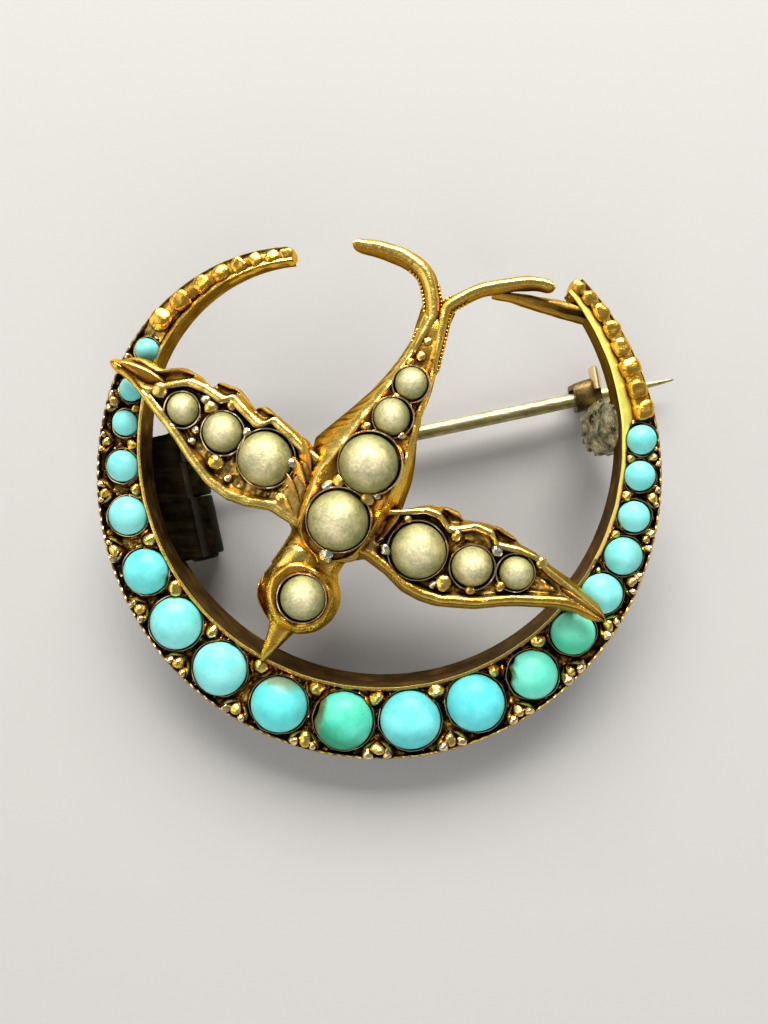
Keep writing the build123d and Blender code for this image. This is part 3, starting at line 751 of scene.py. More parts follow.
def make_crescent():
    """The crescent's body: dark walls, a lip of wear and painted highlight and a carved bed for the
    stones.
    """
    angles = np.linspace(LEFT_HORN, RIGHT_HORN, RING_STEPS + 1)
    inner = inner_radius(angles)
    outer = outer_radius(angles)
    horn = horn_share(angles)
    band = np.interp(angles, BAND_ANGLES, BAND_WIDTHS)
    lip = LIP_RIDGE + (band - LIP_RIDGE) * horn
    cosines = np.cos(np.radians(angles))
    sines = np.sin(np.radians(angles))
    wall = wall_height(outer * sines)
    milling = np.abs(np.sin(pi * np.radians(angles) * CRESCENT_RADIUS / MILLING_PITCH))
    strip = Strip()
    rough = 0.006 * ripple(np.stack([cosines, sines], axis=1) * CRESCENT_RADIUS, 0.9, 5)
    inner_wall = wall_height(inner * sines)
    for share in np.linspace(0, 1, 8):
        hollow = 0.06 * sin(pi * share)
        strip.add(inner + hollow + rough * share, -inner_wall * (1 - share) + 0.04 * share, RING_WALL)
    # Columns: share of the lip's width, height along the stones and fall on the horns
    lip_shape = ((0.06, 0.11, 0.0), (0.2, 0.145, 0.0), (0.45, 0.15, 0.06), (0.75, 0.145, 0.14),
                 (0.95, 0.11, 0.18))
    for share, rise, fall in lip_shape:
        strip.add(inner + lip * share + rough, rise - fall * horn * band / 0.5 + 0.4 * rough, RING_BAND)
    foot = inner + lip + 0.05
    slope = 0.20 * (1 - horn)
    strip.add(foot, 0.02 - 0.12 * horn, RING_BED)
    edge = outer - OUTER_EDGE
    for share in np.linspace(0, 1, 38):
        radius = foot + 0.03 + (edge - foot - 0.03) * share
        bed = bed_height(radius * cosines, radius * sines)
        bank = slope * np.exp(-((radius - foot) / 0.24) ** 2)
        look = RING_SLOPE if share < 0.16 else RING_BED
        strip.add(radius, bed * (1 - 0.8 * horn) + bank, look)
    rim = -0.03 + 0.07 * milling * (1 - 0.6 * horn)
    strip.add(outer - 0.10, rim - 0.02, RING_BED)
    strip.add(outer - 0.05, rim, RING_BED)
    strip.add(outer - 0.015 + 0.01 * milling, rim - 0.06, RING_BED)
    for share in np.linspace(0.06, 1, 6):
        strip.add(outer - 0.02 * (1 - share) + rough * 0.5, -wall * share, RING_WALL)
    for share in np.linspace(0.08, 0.92, 5):
        radius = outer + (inner - outer) * share
        strip.add(radius, -wall_height(radius * sines), RING_WALL)
    rows = strip.rows(lambda radius: np.stack([radius * cosines, radius * sines], axis=1))
    materials = [GOLD_BED, GOLD_DARK, GOLD_BRIGHT, GOLD_BAND, GOLD]
    piece = make_lofts("crescent", [rows], materials, looks=strip.looks)
    # Lip faces short of BAND_START take the lighter gold, wear and painted highlight; round the right horn
    # the band gold paints a highlight.
    for polygon in piece.data.polygons:
        x, y = polygon.center.xy
        if polygon.material_index == RING_BAND and ring_angle(x, y / cos(REST_TILT)) < BAND_START:
            polygon.material_index = RING_WORN_AND_LIT
    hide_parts("gold_mount")


def squared_circle(turns, power):
    """Points of a unit circle that is swollen towards a square where the power is below 1."""
    around = np.linspace(0, 2 * pi, turns, endpoint=False)
    return [np.sign(wave) * np.abs(wave) ** power for wave in (np.cos(around), np.sin(around))]


def lump(centre, radius, rise, seed, turns=18, rings=8, stretch=(1.0, 1.0), turn=0.0, uneven=0.1,
         swollen=1.0, square=1.0):
    """Closed rows of an uneven dome with a short foot."""
    rows = []
    wide, deep = squared_circle(turns, square)
    tilt = radians(turn)
    for share in np.linspace(0, 1, rings):
        angle = share * pi / 2 * 0.985
        flat_x = wide * cos(angle) ** swollen * stretch[0]
        flat_y = deep * cos(angle) ** swollen * stretch[1]
        x = flat_x * cos(tilt) - flat_y * sin(tilt)
        y = flat_x * sin(tilt) + flat_y * cos(tilt)
        rows.append(np.stack([x * radius, y * radius, np.full(turns, sin(angle) * rise)], axis=1))
    foot = rows[0].copy()
    foot[:, 2] -= rise * 0.8
    rows = np.array([foot, *rows])
    flat = rows.reshape(-1, 3)
    growth = 1 + uneven * ripple(flat / radius, 0.9, seed)
    return (flat * growth[:, None]).reshape(rows.shape) + np.asarray(centre, float)


def make_horn_beads():
    """Lumpy cast beads that touch each other along the horns, on a low ridge."""
    lofts = []
    for low, high in ((0, 8), (8, 16)):
        beads = np.array(bead_places()[low:high])
        steps = np.hypot(*np.diff(beads[:, :2], axis=0).T)
        reach = np.concatenate([steps[:1], (steps[:-1] + steps[1:]) / 2, steps[-1:]]) / 2
        for number, (x, y, radius) in enumerate(beads, low):
            stretch = (1.05, min(reach[number - low] * 1.02 / radius, 1.2))
            turn = HORN_BEADS[number][0]
            lofts.append(lump((x, y, -0.10), radius, radius * 0.95, number, 28, 11, stretch, turn,
                              uneven=0.09, swollen=0.6, square=0.8))
        path = curve_through(beads, 90)
        half = path[:, 2] * 1.05
        tops = path[:, 2] * 0.34
        floors = np.full(len(path), -0.45)
        lofts.append(bar_rows(path[:, :2], half, tops, floors, BEVELLED, 0.03, low))
    for angle, back in ((LEFT_HORN, 0.45), (RIGHT_HORN, -0.9)):
        middle = (inner_radius(angle) + outer_radius(angle)) / 2
        half = (outer_radius(angle) - inner_radius(angle)) / 2
        centre = (*(unit(angle + back) * (middle + 0.04)), -0.38)
        lofts.append(lump(centre, half * 0.98, 0.48, 21, 36, 12, (1.0, 0.9), angle, 0.04, 0.6))
    make_lofts("horn_beads", lofts, [GOLD], crease=60)


def free_radius(spot, nodes, wanted, gap):
    """Largest radius up to the wanted one that keeps clear of some stones."""
    return min(wanted, *(gap_to_stone(node, *spot) - gap for node in nodes))


def ring_angle(x, y):
    """Angle of points on the crescent, between those of its horns."""
    angle = np.degrees(np.arctan2(y, x)) % 360
    return np.where(angle < LEFT_HORN - 5, angle + 360, angle)


def keep_in_ring(rows):
    """Rows of a piece on the crescent's bed, drawn back where it would come through a wall."""
    flat = np.array(rows, float).reshape(-1, 3)
    reach = np.hypot(flat[:, 0], flat[:, 1])
    angles = ring_angle(flat[:, 0], flat[:, 1])
    limited = np.clip(reach, inner_radius(angles) + WALL_COVER, outer_radius(angles) - WALL_COVER)
    flat[:, :2] *= (limited / reach)[:, None]
    return flat.reshape(np.shape(rows))


def make_crescent_grains():
    """Raised grains that hold the turquoises: one gold grain inside each gap and a few outside."""
    random = np.random.default_rng(11)
    golden = []
    silvery = []
    prongs = []
    for first, second in zip(TURQUOISE_NODES[:-1], TURQUOISE_NODES[1:]):
        before = PLACES[first]
        after = PLACES[second]
        angle = ring_angle((before.x + after.x) / 2, (before.y + after.y) / 2)
        size = 0.18 + 0.125 * (before.radius + after.radius) / 2
        inside = inner_radius(angle) + LIP_RIDGE + 0.03 + size * 0.8
        outside = outer_radius(angle) - 0.04 - size * 0.8
        # Columns: distance from the centre, shift round the ring in sizes, wanted size and tone
        spots = (
            (inside, random.uniform(-0.15, 0.15), 1.1, 0),
            (outside + 0.15 * size, -1.25, 0.85, 1),
            (outside + 0.15 * size, 1.25, 0.85, 1),
            (outside - size * 0.45, random.uniform(-0.2, 0.2), 1.0, 0),
        )
        for radius, shift, share, tone in spots:
            here = angle + np.degrees(shift * size / radius)
            spot = unit(here) * radius
            wanted = size * share * random.uniform(0.9, 1.12)
            grain = free_radius(spot, (first, second), wanted, -0.05)
            if grain < SMALLEST_GRAIN:
                continue
            shape = (random.uniform(0.85, 1.2), random.uniform(0.8, 1.1))
            seed = int(random.integers(1000))
            turn = random.uniform(0, 180)
            rows = lump((*spot, -0.18), grain, grain * 1.25 + 0.05, seed, stretch=shape, turn=turn)
            (silvery if tone else golden).append(rows)
        # Columns: distance and shift of the foot, distance and shift of the tip, width, top, depth
        # and side to which it leans. Shifts and width are in sizes.
        forms = (
            (outer_radius(angle) - 0.10, 2.1, outside - size * 1.5, 0.35, 1.25, 0.17, 0.42, -1),
            (inner_radius(angle) + 0.30, 2.0, inside + size * 1.5, 0.40, 1.10, 0.12, 0.40, 1),
        )
        for turn in (-1, 1):
            for foot, foot_shift, tip, tip_shift, width, top, depth, way in forms:
                start, end = (unit(angle + np.degrees(turn * size * shift / CRESCENT_RADIUS)) * radius
                              for radius, shift in ((foot, foot_shift), (tip, tip_shift)))
                lean = turn * way
                prongs.append(leaf(start, end, size * width, top, depth, 0.3 * lean, 0.05 * lean))
    pieces = (
        ("crescent_gold_grains", golden, GOLD_BRIGHT, 50),
        ("crescent_pale_grains", silvery, GOLD_PALE, 30),
        ("crescent_prongs", prongs, GOLD_BRIGHT, 32),
    )
    for name, lofts, material, crease in pieces:
        make_lofts(name, [keep_in_ring(rows) for rows in lofts], [material], crease=crease)


# Sections of the collars round the turquoises and of the cups round the pearls. Columns: distance
# from the stone's edge, and height above the face or above the foot of the pearl's dome.
COLLAR_PROFILE = (
    (0.17, -0.42), (0.13, -0.08), (0.10, -0.02), (0.07, -0.02), (0.045, -0.08), (0.035, -0.42),
)
CUP_PROFILE = ((0.18, -0.22), (0.14, -0.03), (0.11, 0.04), (0.07, 0.04), (0.035, -0.02), (0.03, -0.28))


def make_stone_collars():
    """Thin uneven collars burnished against the turquoises, sunk into the bed in places."""
    rings = []
    for number, node in enumerate(TURQUOISE_NODES):
        stone = PLACES[node]
        profile = [(stone.radius + offset, height) for offset, height in COLLAR_PROFILE]
        rows = lathe((stone.x, stone.y, 0), profile, 80)
        flat = rows.reshape(-1, 3)
        flat[:, 2] += 0.07 * ripple(flat[:, :2], 0.9, number) + 0.02
        flat[:, :2] += 0.015 * ripple(flat[:, :2], 0.4, number + 50)[:, None]
        rings.append(np.swapaxes(keep_in_ring(flat).reshape(rows.shape), 0, 1))
    make_lofts("stone_collars", rings, [GOLD_PALE], closed=True)


# Stones

def dome_rows(node, dome_share, uneven, seed):
    """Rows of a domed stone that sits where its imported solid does."""
    x, y, radius, low, high = PLACES[node]
    flatten = radius * dome_share
    radius = radius - 0.01
    girdle = high - flatten
    rows = [(radius * 0.96, low + 0.02), (radius, low + 0.07)]
    ball = (radius**2 + flatten**2) / (2 * flatten)
    steepest = np.arcsin(min(radius / ball, 1.0))
    for share in np.linspace(0, 1, 22):
        angle = steepest * (1 - share) + 0.02 * share
        rows.append((ball * sin(angle), girdle + ball * cos(angle) - (ball - flatten)))
    surface = lathe((x, y, 0), rows, 72)
    flat = surface.reshape(-1, 3)
    centre = np.array([x, y, girdle])
    swell = 1 + uneven * ripple((flat - centre) / radius, 1.3, seed)
    return (centre + (flat - centre) * swell[:, None]).reshape(surface.shape)


# Hollows that chips have left in some turquoises. Columns: node, direction of the chip in degrees,
# distance from the stone's centre, reach and depth, the last three as shares of its radius.
CHIPS = (
    ("turquoise_10", 160.0, 1.00, 0.34, 0.09),
    ("turquoise_13", 185.0, 1.02, 0.34, 0.16),
    ("turquoise_13", 150.0, 0.98, 0.20, 0.10),
    ("turquoise_06", -20.0, 1.02, 0.22, 0.08),
)


# Height of the domes as shares of the stones' radius
TURQUOISE_DOME = 0.6
PEARL_DOME = 0.7


def make_turquoises():
    """Polished turquoise cabochons, each with its own colour and small unevenness."""
    for number, node in enumerate(TURQUOISE_NODES):
        stone = PLACES[node]
        deep, pale = STONE_COLOURS.get(node, BLUE_STONE)
        drift = 0.93 + 0.14 * ((number * 7) % 5) / 4
        deep = tuple(value * drift for value in deep)
        material = turquoise_material(f"{node}_stone", node, deep, pale)
        rows = dome_rows(node, TURQUOISE_DOME, 0.012, number)
        for name, direction, distance, reach, depth in CHIPS:
            if name == node:
                outward = unit(direction) * stone.radius
                away = rows[..., :2] - (stone.x, stone.y) - outward * distance
                away = np.hypot(away[..., 0], away[..., 1]) / (reach * stone.radius)
                bite = np.clip(1 - away, 0, 1) ** 0.7
                rows -= bite[..., None] * depth * np.array([*outward, 0.25 * stone.radius])
        piece = make_lofts(f"{node}_cabochon", [rows], [material], crease=50)
        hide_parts(node)


def make_pearls():
    """Half pearls."""
    for number, node in enumerate(PEARL_NODES):
        rows = dome_rows(node, PEARL_DOME, 0.014, number + 40)
        piece = make_lofts(f"{node}_dome", [rows], [PEARL], crease=60)
        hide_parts(node)


# Shift of a cup from its pearl, and the directions in degrees in which a dark gap shows between
# them, in the nodes' order
CUP_SHIFT = 0.055
PEARL_GAPS = (30.0, -60.0, -120.0, 150.0, -80.0, 160.0, 60.0, 20.0, -30.0, -100.0, 190.0)


def make_pearl_cups():
    """Thin burnished cups round the pearls whose pale gold paints a highlight, each open to a dark gap on
    one side.
    """
    lofts = []
    for node, direction in zip(PEARL_NODES, PEARL_GAPS):
        stone = PLACES[node]
        x, y = np.array([stone.x, stone.y]) + CUP_SHIFT * unit(direction)
        base = stone.high - PEARL_DOME * stone.radius
        profile = [(stone.radius + offset, base + height) for offset, height in CUP_PROFILE]
        rows = roughen(lathe((x, y, 0), profile, 64), (0.03, 0.35, len(lofts)), along=(0, 0, 1))
        lofts.append(np.swapaxes(rows, 0, 1))
    make_lofts("pearl_cups", lofts, [GOLD_PALE], closed=True)


# Swallow

def placer(root, direction):
    """Return a function from distances along and across a piece to the face plane."""
    def place(along, side):
        ahead = root + np.multiply.outer(along, unit(direction))
        return ahead + np.multiply.outer(side, unit(direction + 90))

    return place


# Feet of the wings. Columns: distance from the root as a share of the wing's length, then the
# leading edge and the trailing edge as shares of its width.
LEFT_WING_FOOT = (
    (-0.13, -0.390, 0.420),
    (-0.06, -0.440, 0.500),
    (0.07, -0.455, 0.530),
    (0.16, -0.585, 0.560),
    (0.25, -0.668, 0.585),
    (0.345, -0.665, 0.602),
    (0.372, -0.650, 0.487),
    (0.48, -0.555, 0.584),
    (0.562, -0.460, 0.523),
    (0.578, -0.440, 0.384),
    (0.65, -0.375, 0.425),
    (0.73, -0.305, 0.400),
    (0.80, -0.247, 0.235),
    (0.88, -0.180, 0.210),
    (0.930, -0.168, 0.150),
    (0.950, -0.168, 0.120),
    (0.966, -0.160, 0.070),
    (0.974, -0.145, 0.010),
    (0.978, -0.115, -0.050),
)
RIGHT_WING_FOOT = (
    (-0.11, -0.265, 0.290),
    (-0.03, -0.230, 0.360),
    (0.07, -0.320, 0.410),
    (0.16, -0.445, 0.530),
    (0.245, -0.488, 0.571),
    (0.303, -0.490, 0.560),
    (0.325, -0.488, 0.488),
    (0.40, -0.447, 0.520),
    (0.483, -0.397, 0.530),
    (0.556, -0.320, 0.475),
    (0.585, -0.288, 0.419),
    (0.655, -0.230, 0.384),
    (0.746, -0.170, 0.287),
    (0.828, -0.124, 0.225),
    (0.905, -0.122, 0.130),
    (1.00, -0.110, -0.030),
)

# Rims along the trailing edges, in lighter gold for wear and painted highlight, which step inwards
# at each feather. Columns: distance from the root as a share of the wing's length and distance
# across as a share of its width.
LEFT_WING_RIM = (
    (-0.13, 0.38),
    (-0.06, 0.44),
    (0.10, 0.459),
    (0.276, 0.533),
    (0.298, 0.410),
    (0.32, 0.366),
    (0.477, 0.449),
    (0.502, 0.353),
    (0.591, 0.351),
    (0.664, 0.300),
    (0.723, 0.130),
    (0.780, -0.060),
    (0.820, -0.110),
    (0.869, -0.100),
    (0.950, -0.078),
    (0.978, -0.078),
)
RIGHT_WING_RIM = (
    (-0.11, 0.25),
    (-0.03, 0.32),
    (0.06, 0.385),
    (0.166, 0.487),
    (0.224, 0.476),
    (0.282, 0.356),
    (0.377, 0.472),
    (0.457, 0.457),
    (0.487, 0.349),
    (0.584, 0.369),
    (0.661, 0.340),
    (0.705, 0.265),
    (0.838, 0.127),
    (0.976, -0.017),
    (1.00, -0.060),
)


def table_column(rows, column, shares, smooth=0.006):
    """Read one column of a table at many shares, with its corners slightly rounded."""
    spots = [row[0] for row in rows]
    values = [row[column] for row in rows]
    offsets = (-1.5, -0.5, 0.5, 1.5)
    return np.mean([np.interp(shares + offset * smooth, spots, values) for offset in offsets], axis=0)


# Numbers of the materials of the wings, the body and the bars, in the order that their meshes
# hold them. BRIGHT is a lighter gold for wear and painted highlight; SHADED and BROWN are darker
# golds that paint shade and a dark reflection.
PLAIN, DARK, BRIGHT, SHADED, BROWN, BED = range(6)


def make_wing(name, place, foot_rows, rim_rows, side, length, width, seed, lead_look, rim_look,
              rim_width, lead_inset, root_fill):
    """A wing: bevelled flanks, rims of wear and painted highlight, feather pockets behind and a hollow
    between the rims.
    """
    shares = np.linspace(foot_rows[0][0], foot_rows[-1][0], 360)
    foot_lead = table_column(foot_rows, 1, shares) * width
    foot_trail = table_column(foot_rows, 2, shares) * width
    spread = foot_trail - foot_lead
    rim_lead = foot_lead + np.minimum(lead_inset, 0.42 * spread)
    rim_trail = np.maximum(table_column(rim_rows, 1, shares) * width, rim_lead + 0.02)
    opening = rim_trail - rim_lead
    past_root = smooth_step(shares, root_fill - 0.05, root_fill + 0.04)
    hollow = TRAY_DEPTH * smooth_step(opening, 0.35, 1.0) * past_root
    rim_half = np.minimum(rim_width, opening * 0.26)
    strip = Strip()
    rise = WING_TOP - WING_FLOOR
    # Columns: share of the way up the leading flank, height share and look
    # The lower flank takes the shaded gold as painted shade; lead look and rim look pick, for each wing,
    # between the lighter gold that paints highlight and the brown gold that paints shade.
    flank = (
        (0.0, 0.0, SHADED), (0.12, 0.28, SHADED), (0.26, 0.50, SHADED), (0.42, 0.69, lead_look),
        (0.56, 0.80, lead_look), (0.70, 0.85, lead_look), (0.80, 0.85, PLAIN), (0.88, 0.90, rim_look),
    )
    for step, up, look in flank:
        strip.add(foot_lead + (rim_lead - rim_half * 0.8 - foot_lead) * step, WING_FLOOR + rise * up, look)
    strip.add(rim_lead - rim_half * 0.6, WING_TOP - 0.03, rim_look)
    strip.add(rim_lead, WING_TOP, rim_look)
    strip.add(rim_lead + rim_half * 0.7, WING_TOP - 0.03, rim_look)
    for step in np.linspace(0, 1, 38):
        edge = min(step, 1 - step)
        reach = rim_half * 1.1 + (opening - 2.2 * rim_half) * step
        depth = hollow * smooth_step(edge * opening, 0.0, 0.16)
        flat = place(shares * length, side * (rim_lead + reach))
        wave = 0.05 * ripple(flat, 0.34, seed) + 0.03 * ripple(flat, 0.15, seed + 2)
        wave = wave * smooth_step(edge * opening, 0.1, 0.4)
        strip.add(rim_lead + reach, WING_TOP - 0.05 - depth + wave * (hollow > 0.05), BED)
    strip.add(rim_trail - rim_half * 0.7, WING_TOP - 0.03, BRIGHT)
    strip.add(rim_trail, WING_TOP, BRIGHT)
    strip.add(rim_trail + rim_half * 0.6, WING_TOP - 0.03, BRIGHT)
    start = rim_trail + rim_half
    band = foot_trail - start
    pocket = smooth_step(band, 0.16, 0.42) * (1 - smooth_step(shares, 0.90, 0.975))
    # Columns: share of the way out, drop of a plain flank, drop of a pocketed one and look
    behind = (
        (0.06, 0.10, 0.12, BROWN), (0.18, 0.22, 0.36, BROWN), (0.34, 0.36, 0.46, BROWN),
        (0.52, 0.52, 0.46, BROWN), (0.66, 0.66, 0.34, BROWN), (0.76, 0.76, 0.20, BRIGHT),
        (0.84, 0.84, 0.17, BRIGHT), (0.92, 0.92, 0.26, PLAIN), (0.98, 1.0, 0.60, SHADED),
        (1.0, 1.0, 1.0, SHADED),
    )
    for step, plain, pocketed, look in behind:
        drop = plain + (pocketed - plain) * pocket
        strip.add(start + band * step, WING_TOP - rise * drop, look)
    for step in (0.75, 0.5, 0.25):
        strip.add(foot_lead + (foot_trail - foot_lead) * step, WING_FLOOR, DARK)
    rows = strip.rows(lambda across: place(shares * length, side * across))
    rows = roughen(rows, (0.016, 0.5, seed + 1), above=WING_FLOOR + 0.1, along=(0, 0, 1))
    materials = [GOLD, GOLD_DARK, GOLD_BRIGHT, GOLD_FLANK, GOLD_BROWN, GOLD_BED]
    make_lofts(name, [rows], materials, crease=50, looks=strip.looks)


# Outline of the body, from the tail to the breast. Columns: distance along the body as a share
# of its length, then as shares of its width the left edge and the right edge at the foot, and
# the left and right edges at the top.
BODY = (
    (-0.02, 0.155, 0.155, 0.050, 0.100),
    (0.10, 0.115, 0.180, 0.030, 0.150),
    (0.177, 0.140, 0.225, 0.056, 0.200),
    (0.26, 0.196, 0.260, 0.090, 0.238),
    (0.34, 0.265, 0.275, 0.128, 0.245),
    (0.43, 0.366, 0.320, 0.180, 0.285),
    (0.52, 0.475, 0.405, 0.230, 0.325),
    (0.59, 0.560, 0.450, 0.270, 0.337),
    (0.70, 0.500, 0.477, 0.337, 0.331),
    (0.81, 0.440, 0.410, 0.326, 0.320),
    (0.88, 0.385, 0.350, 0.310, 0.295),
    (0.92, 0.360, 0.330, 0.275, 0.262),
    (0.95, 0.320, 0.295, 0.215, 0.205),
    (0.972, 0.265, 0.245, 0.140, 0.130),
    (0.988, 0.195, 0.180, 0.050, 0.045),
    (1.000, 0.115, 0.105, 0.030, 0.030),
    (1.008, 0.040, 0.040, 0.012, 0.012),
)


def make_body():
    """The bird's body: engraved flanks, ridges of wear and painted highlight and a hollow back for its
    pearls.
    """
    place = placer(TAIL_ROOT, BODY_DIRECTION)
    shares = np.linspace(-0.06, 1.008, 380)
    foot_left, foot_right, top_left, top_right = (
        table_column(BODY, column, shares, 0.005) * BODY_WIDTH for column in (1, 2, 3, 4))
    top = BODY_FLOOR + TAIL_HEIGHT + (BODY_HEIGHT - TAIL_HEIGHT) * np.clip(shares / BACK_SHARE, 0, 1)
    top = top - 0.35 * smooth_step(shares, 0.94, 1.008) - 0.5 * smooth_step(-shares, -0.02, 0.06)
    opening = top_left + top_right
    hollow = 0.14 * smooth_step(opening, 0.6, 1.2)
    rim = np.minimum(0.07, opening * 0.1)
    strip = Strip()
    for step in np.linspace(0, 0.96, 18):
        across = -foot_left + (foot_left - top_left) * step - 0.10 * sin(pi * step)
        height = BODY_FLOOR + (top - BODY_FLOOR) * (1 - (1 - step) ** 1.5)
        wander = 0.6 * np.sin(shares * 9) + 0.35 * np.sin(shares * 23 + 2)
        cut = np.abs(np.sin(pi * (shares * 24 + step * 2.2 + wander)))
        hatch = -0.09 * smooth_step(-cut, -0.5, -0.1) * sin(pi * min(step * 1.25, 1))
        # Upper left flank in the lighter gold as painted highlight, lower flank in shaded gold as painted
        # shade.
        look = BRIGHT if step > 0.66 else SHADED
        strip.add(across - hatch * 0.5, height + hatch * smooth_step(shares, 0.12, 0.3), look)
    strip.add(-top_left - rim * 0.3, top, BRIGHT)
    strip.add(-top_left + rim * 0.8, top, BRIGHT)
    for step in np.linspace(0, 1, 14):
        edge = min(step, 1 - step)
        depth = hollow * smooth_step(edge * opening, 0.0, 0.15)
        strip.add(-top_left + rim + (opening - 2 * rim) * step, top - 0.02 - depth, PLAIN)
    strip.add(top_right - rim * 0.8, top, BRIGHT)
    strip.add(top_right + rim * 0.3, top, BRIGHT)
    for step in np.linspace(0.05, 1, 10):
        across = top_right + (foot_right - top_right) * step + 0.08 * sin(pi * step)
        # Upper right flank in the lighter gold as painted highlight, lower flank in shaded gold as painted
        # shade.
        look = BRIGHT if step < 0.4 else SHADED
        strip.add(across, top + (BODY_FLOOR - top) * step, look)
    for step in (0.75, 0.5, 0.25):
        strip.add(-foot_left + (foot_right + foot_left) * step, BODY_FLOOR, DARK)
    rows = strip.rows(lambda across: place(shares * BODY_LENGTH, across))
    rows = roughen(rows, (0.018, 0.4, 21), above=BODY_FLOOR + 0.1)
    make_lofts("body", [rows], [GOLD, GOLD_DARK, GOLD_BRIGHT, GOLD_FLANK], crease=50,
               looks=strip.looks)


def pillow(outline, floor, top, puff, seed, turns=96, rings=12):
    """Closed rows of a rounded mound over an outline in the face plane."""
    outline = np.asarray(outline, float)
    closed = np.vstack([outline, outline[:1]])
    lengths = np.concatenate([[0], np.cumsum(np.hypot(*np.diff(closed, axis=0).T))])
    spots = np.linspace(0, lengths[-1], turns, endpoint=False)
    edge = np.stack([np.interp(spots, lengths, closed[:, axis]) for axis in (0, 1)], axis=1)
    for _ in range(2):
        edge = (edge + np.roll(edge, 1, axis=0) + np.roll(edge, -1, axis=0)) / 3
    middle = edge.mean(axis=0)
    rows = []
    for share in np.linspace(0, 1, rings):
        shrink = 1 - share**puff * 0.97
        height = floor + (top - floor) * sin(share * pi / 2) ** 0.7
        rows.append(np.column_stack([middle + (edge - middle) * shrink, np.full(turns, height)]))
    return roughen(rows, (0.02, 0.5, seed), above=floor + 0.05)


# Rounded mounds that join the wings to the breast. Columns: x and y of the outline as shares of the
# crescent's radius.
LEFT_SHOULDER = (
    (-0.370, -0.075),
    (-0.326, -0.098),
    (-0.293, -0.128),
    (-0.277, -0.175),
    (-0.290, -0.222),
    (-0.225, -0.232),
    (-0.190, -0.120),
    (-0.240, -0.040),
)
RIGHT_SHOULDER = (
    (-0.128, -0.292),
    (-0.105, -0.287),
    (-0.072, -0.275),
    (-0.020, -0.272),
    (0.045, -0.290),
    (0.060, -0.235),
    (-0.020, -0.190),
    (-0.120, -0.215),
)


def make_shoulders():
    """Brown rounded metal between the wings and the breast."""
    lofts = [pillow(np.array(outline) * CRESCENT_RADIUS, SHOULDER_FLOOR, SHOULDER_TOP, 1.3, seed)
             for outline, seed in ((LEFT_SHOULDER, 61), (RIGHT_SHOULDER, 62))]
    make_lofts("shoulders", lofts, [GOLD_FLANK], crease=60)


def leaf(start, end, width, top, depth, lean=0.0, bow=0.0, blunt=0.6, skew=1.0, fall=0.0):
    """Closed rows of a small ridged leaf from one point of the face plane to another."""
    start = np.array(start, float)
    end = np.array(end, float)
    shares = np.linspace(0, 1, 22)
    ahead = end - start
    across = np.array([-ahead[1], ahead[0]]) / np.hypot(*ahead)
    # Columns: distance across in half widths and share of the way up
    section = ((-1.0, 0.0), (-0.75, 0.28), (lean - 0.14, 0.92), (lean, 1.0), (lean + 0.14, 0.92),
               (0.80, 0.35), (1.0, 0.0), (0.0, -0.05))
    rows = []
    for share in shares:
        middle = start + ahead * share + across * bow * 4 * share * (1 - share)
        half = max(width / 2 * sin(pi * min(max(share, 0.015), 0.985) ** skew) ** blunt, 0.005)
        peak = top - 0.12 * (2 * share - 1) ** 2 - fall * share
        rows.append([(*(middle + across * side * half), peak - depth * (1 - up)) for side, up in section])
    return np.array(rows)


# Graved leaves at the joins of the wings and the body and on the head. Columns: x and y of the
# start, x and y of the end, all as shares of the crescent's radius, then width, top and sideways bow
# in millimetres, and 1 where the leaf takes the plain gold that paints it lit; the others take the
# brown gold that paints them shaded.
LEAVES = (
    (-0.228, 0.150, -0.196, 0.000, 0.70, 1.86, 0.05, 0),
    (-0.262, 0.086, -0.208, -0.060, 0.72, 1.84, 0.04, 1),
    (-0.290, 0.036, -0.222, -0.110, 0.74, 1.80, -0.04, 0),
    (-0.308, -0.036, -0.240, -0.160, 0.74, 1.76, -0.04, 1),
    (0.104, -0.084, 0.022, -0.196, 0.56, 1.76, 0.05, 1),
    (0.084, -0.120, -0.016, -0.230, 0.50, 1.70, 0.06, 0),
    (0.112, -0.122, 0.044, -0.200, 0.42, 1.68, 0.02, 1),
    (0.026, -0.248, 0.066, -0.312, 0.42, 1.64, 0.04, 1),
)


def make_leaves():
    """Small ridged leaves that stand for the graver's cuts."""
    bright = []
    brown = []
    for x1, y1, x2, y2, width, top, bow, painted_lit in LEAVES:
        start = (x1 * CRESCENT_RADIUS, y1 * CRESCENT_RADIUS)
        end = (x2 * CRESCENT_RADIUS, y2 * CRESCENT_RADIUS)
        rows = leaf(start, end, width, top, 0.34, 0.5, bow, 0.75, 0.6, 0.16)
        (bright if painted_lit else brown).append(rows)
    make_lofts("bright_leaves", bright, [GOLD], crease=32)
    make_lofts("brown_leaves", brown, [GOLD_BROWN], crease=32)


def make_wing_tips():
    """Solid tips of the two wings, where the rims meet."""
    left = leaf((-11.0, 5.24), (-8.55, 4.20), 0.90, WING_TOP + 0.05, 0.42, 0.40, 0.10, 0.55)
    right = leaf((7.95, -4.50), (9.80, -5.94), 0.90, WING_TOP + 0.06, 0.42, 0.25, -0.04, 0.55)
    make_lofts("wing_tips", [left, right], [GOLD_BROWN], crease=30)
    knob = lump((-10.68, 5.10, 1.15), 0.30, 0.50, 341, 32, 12, (1.55, 1.0), -27.0, 0.05)
    make_lofts("wing_knob", [knob], [GOLD], crease=60)


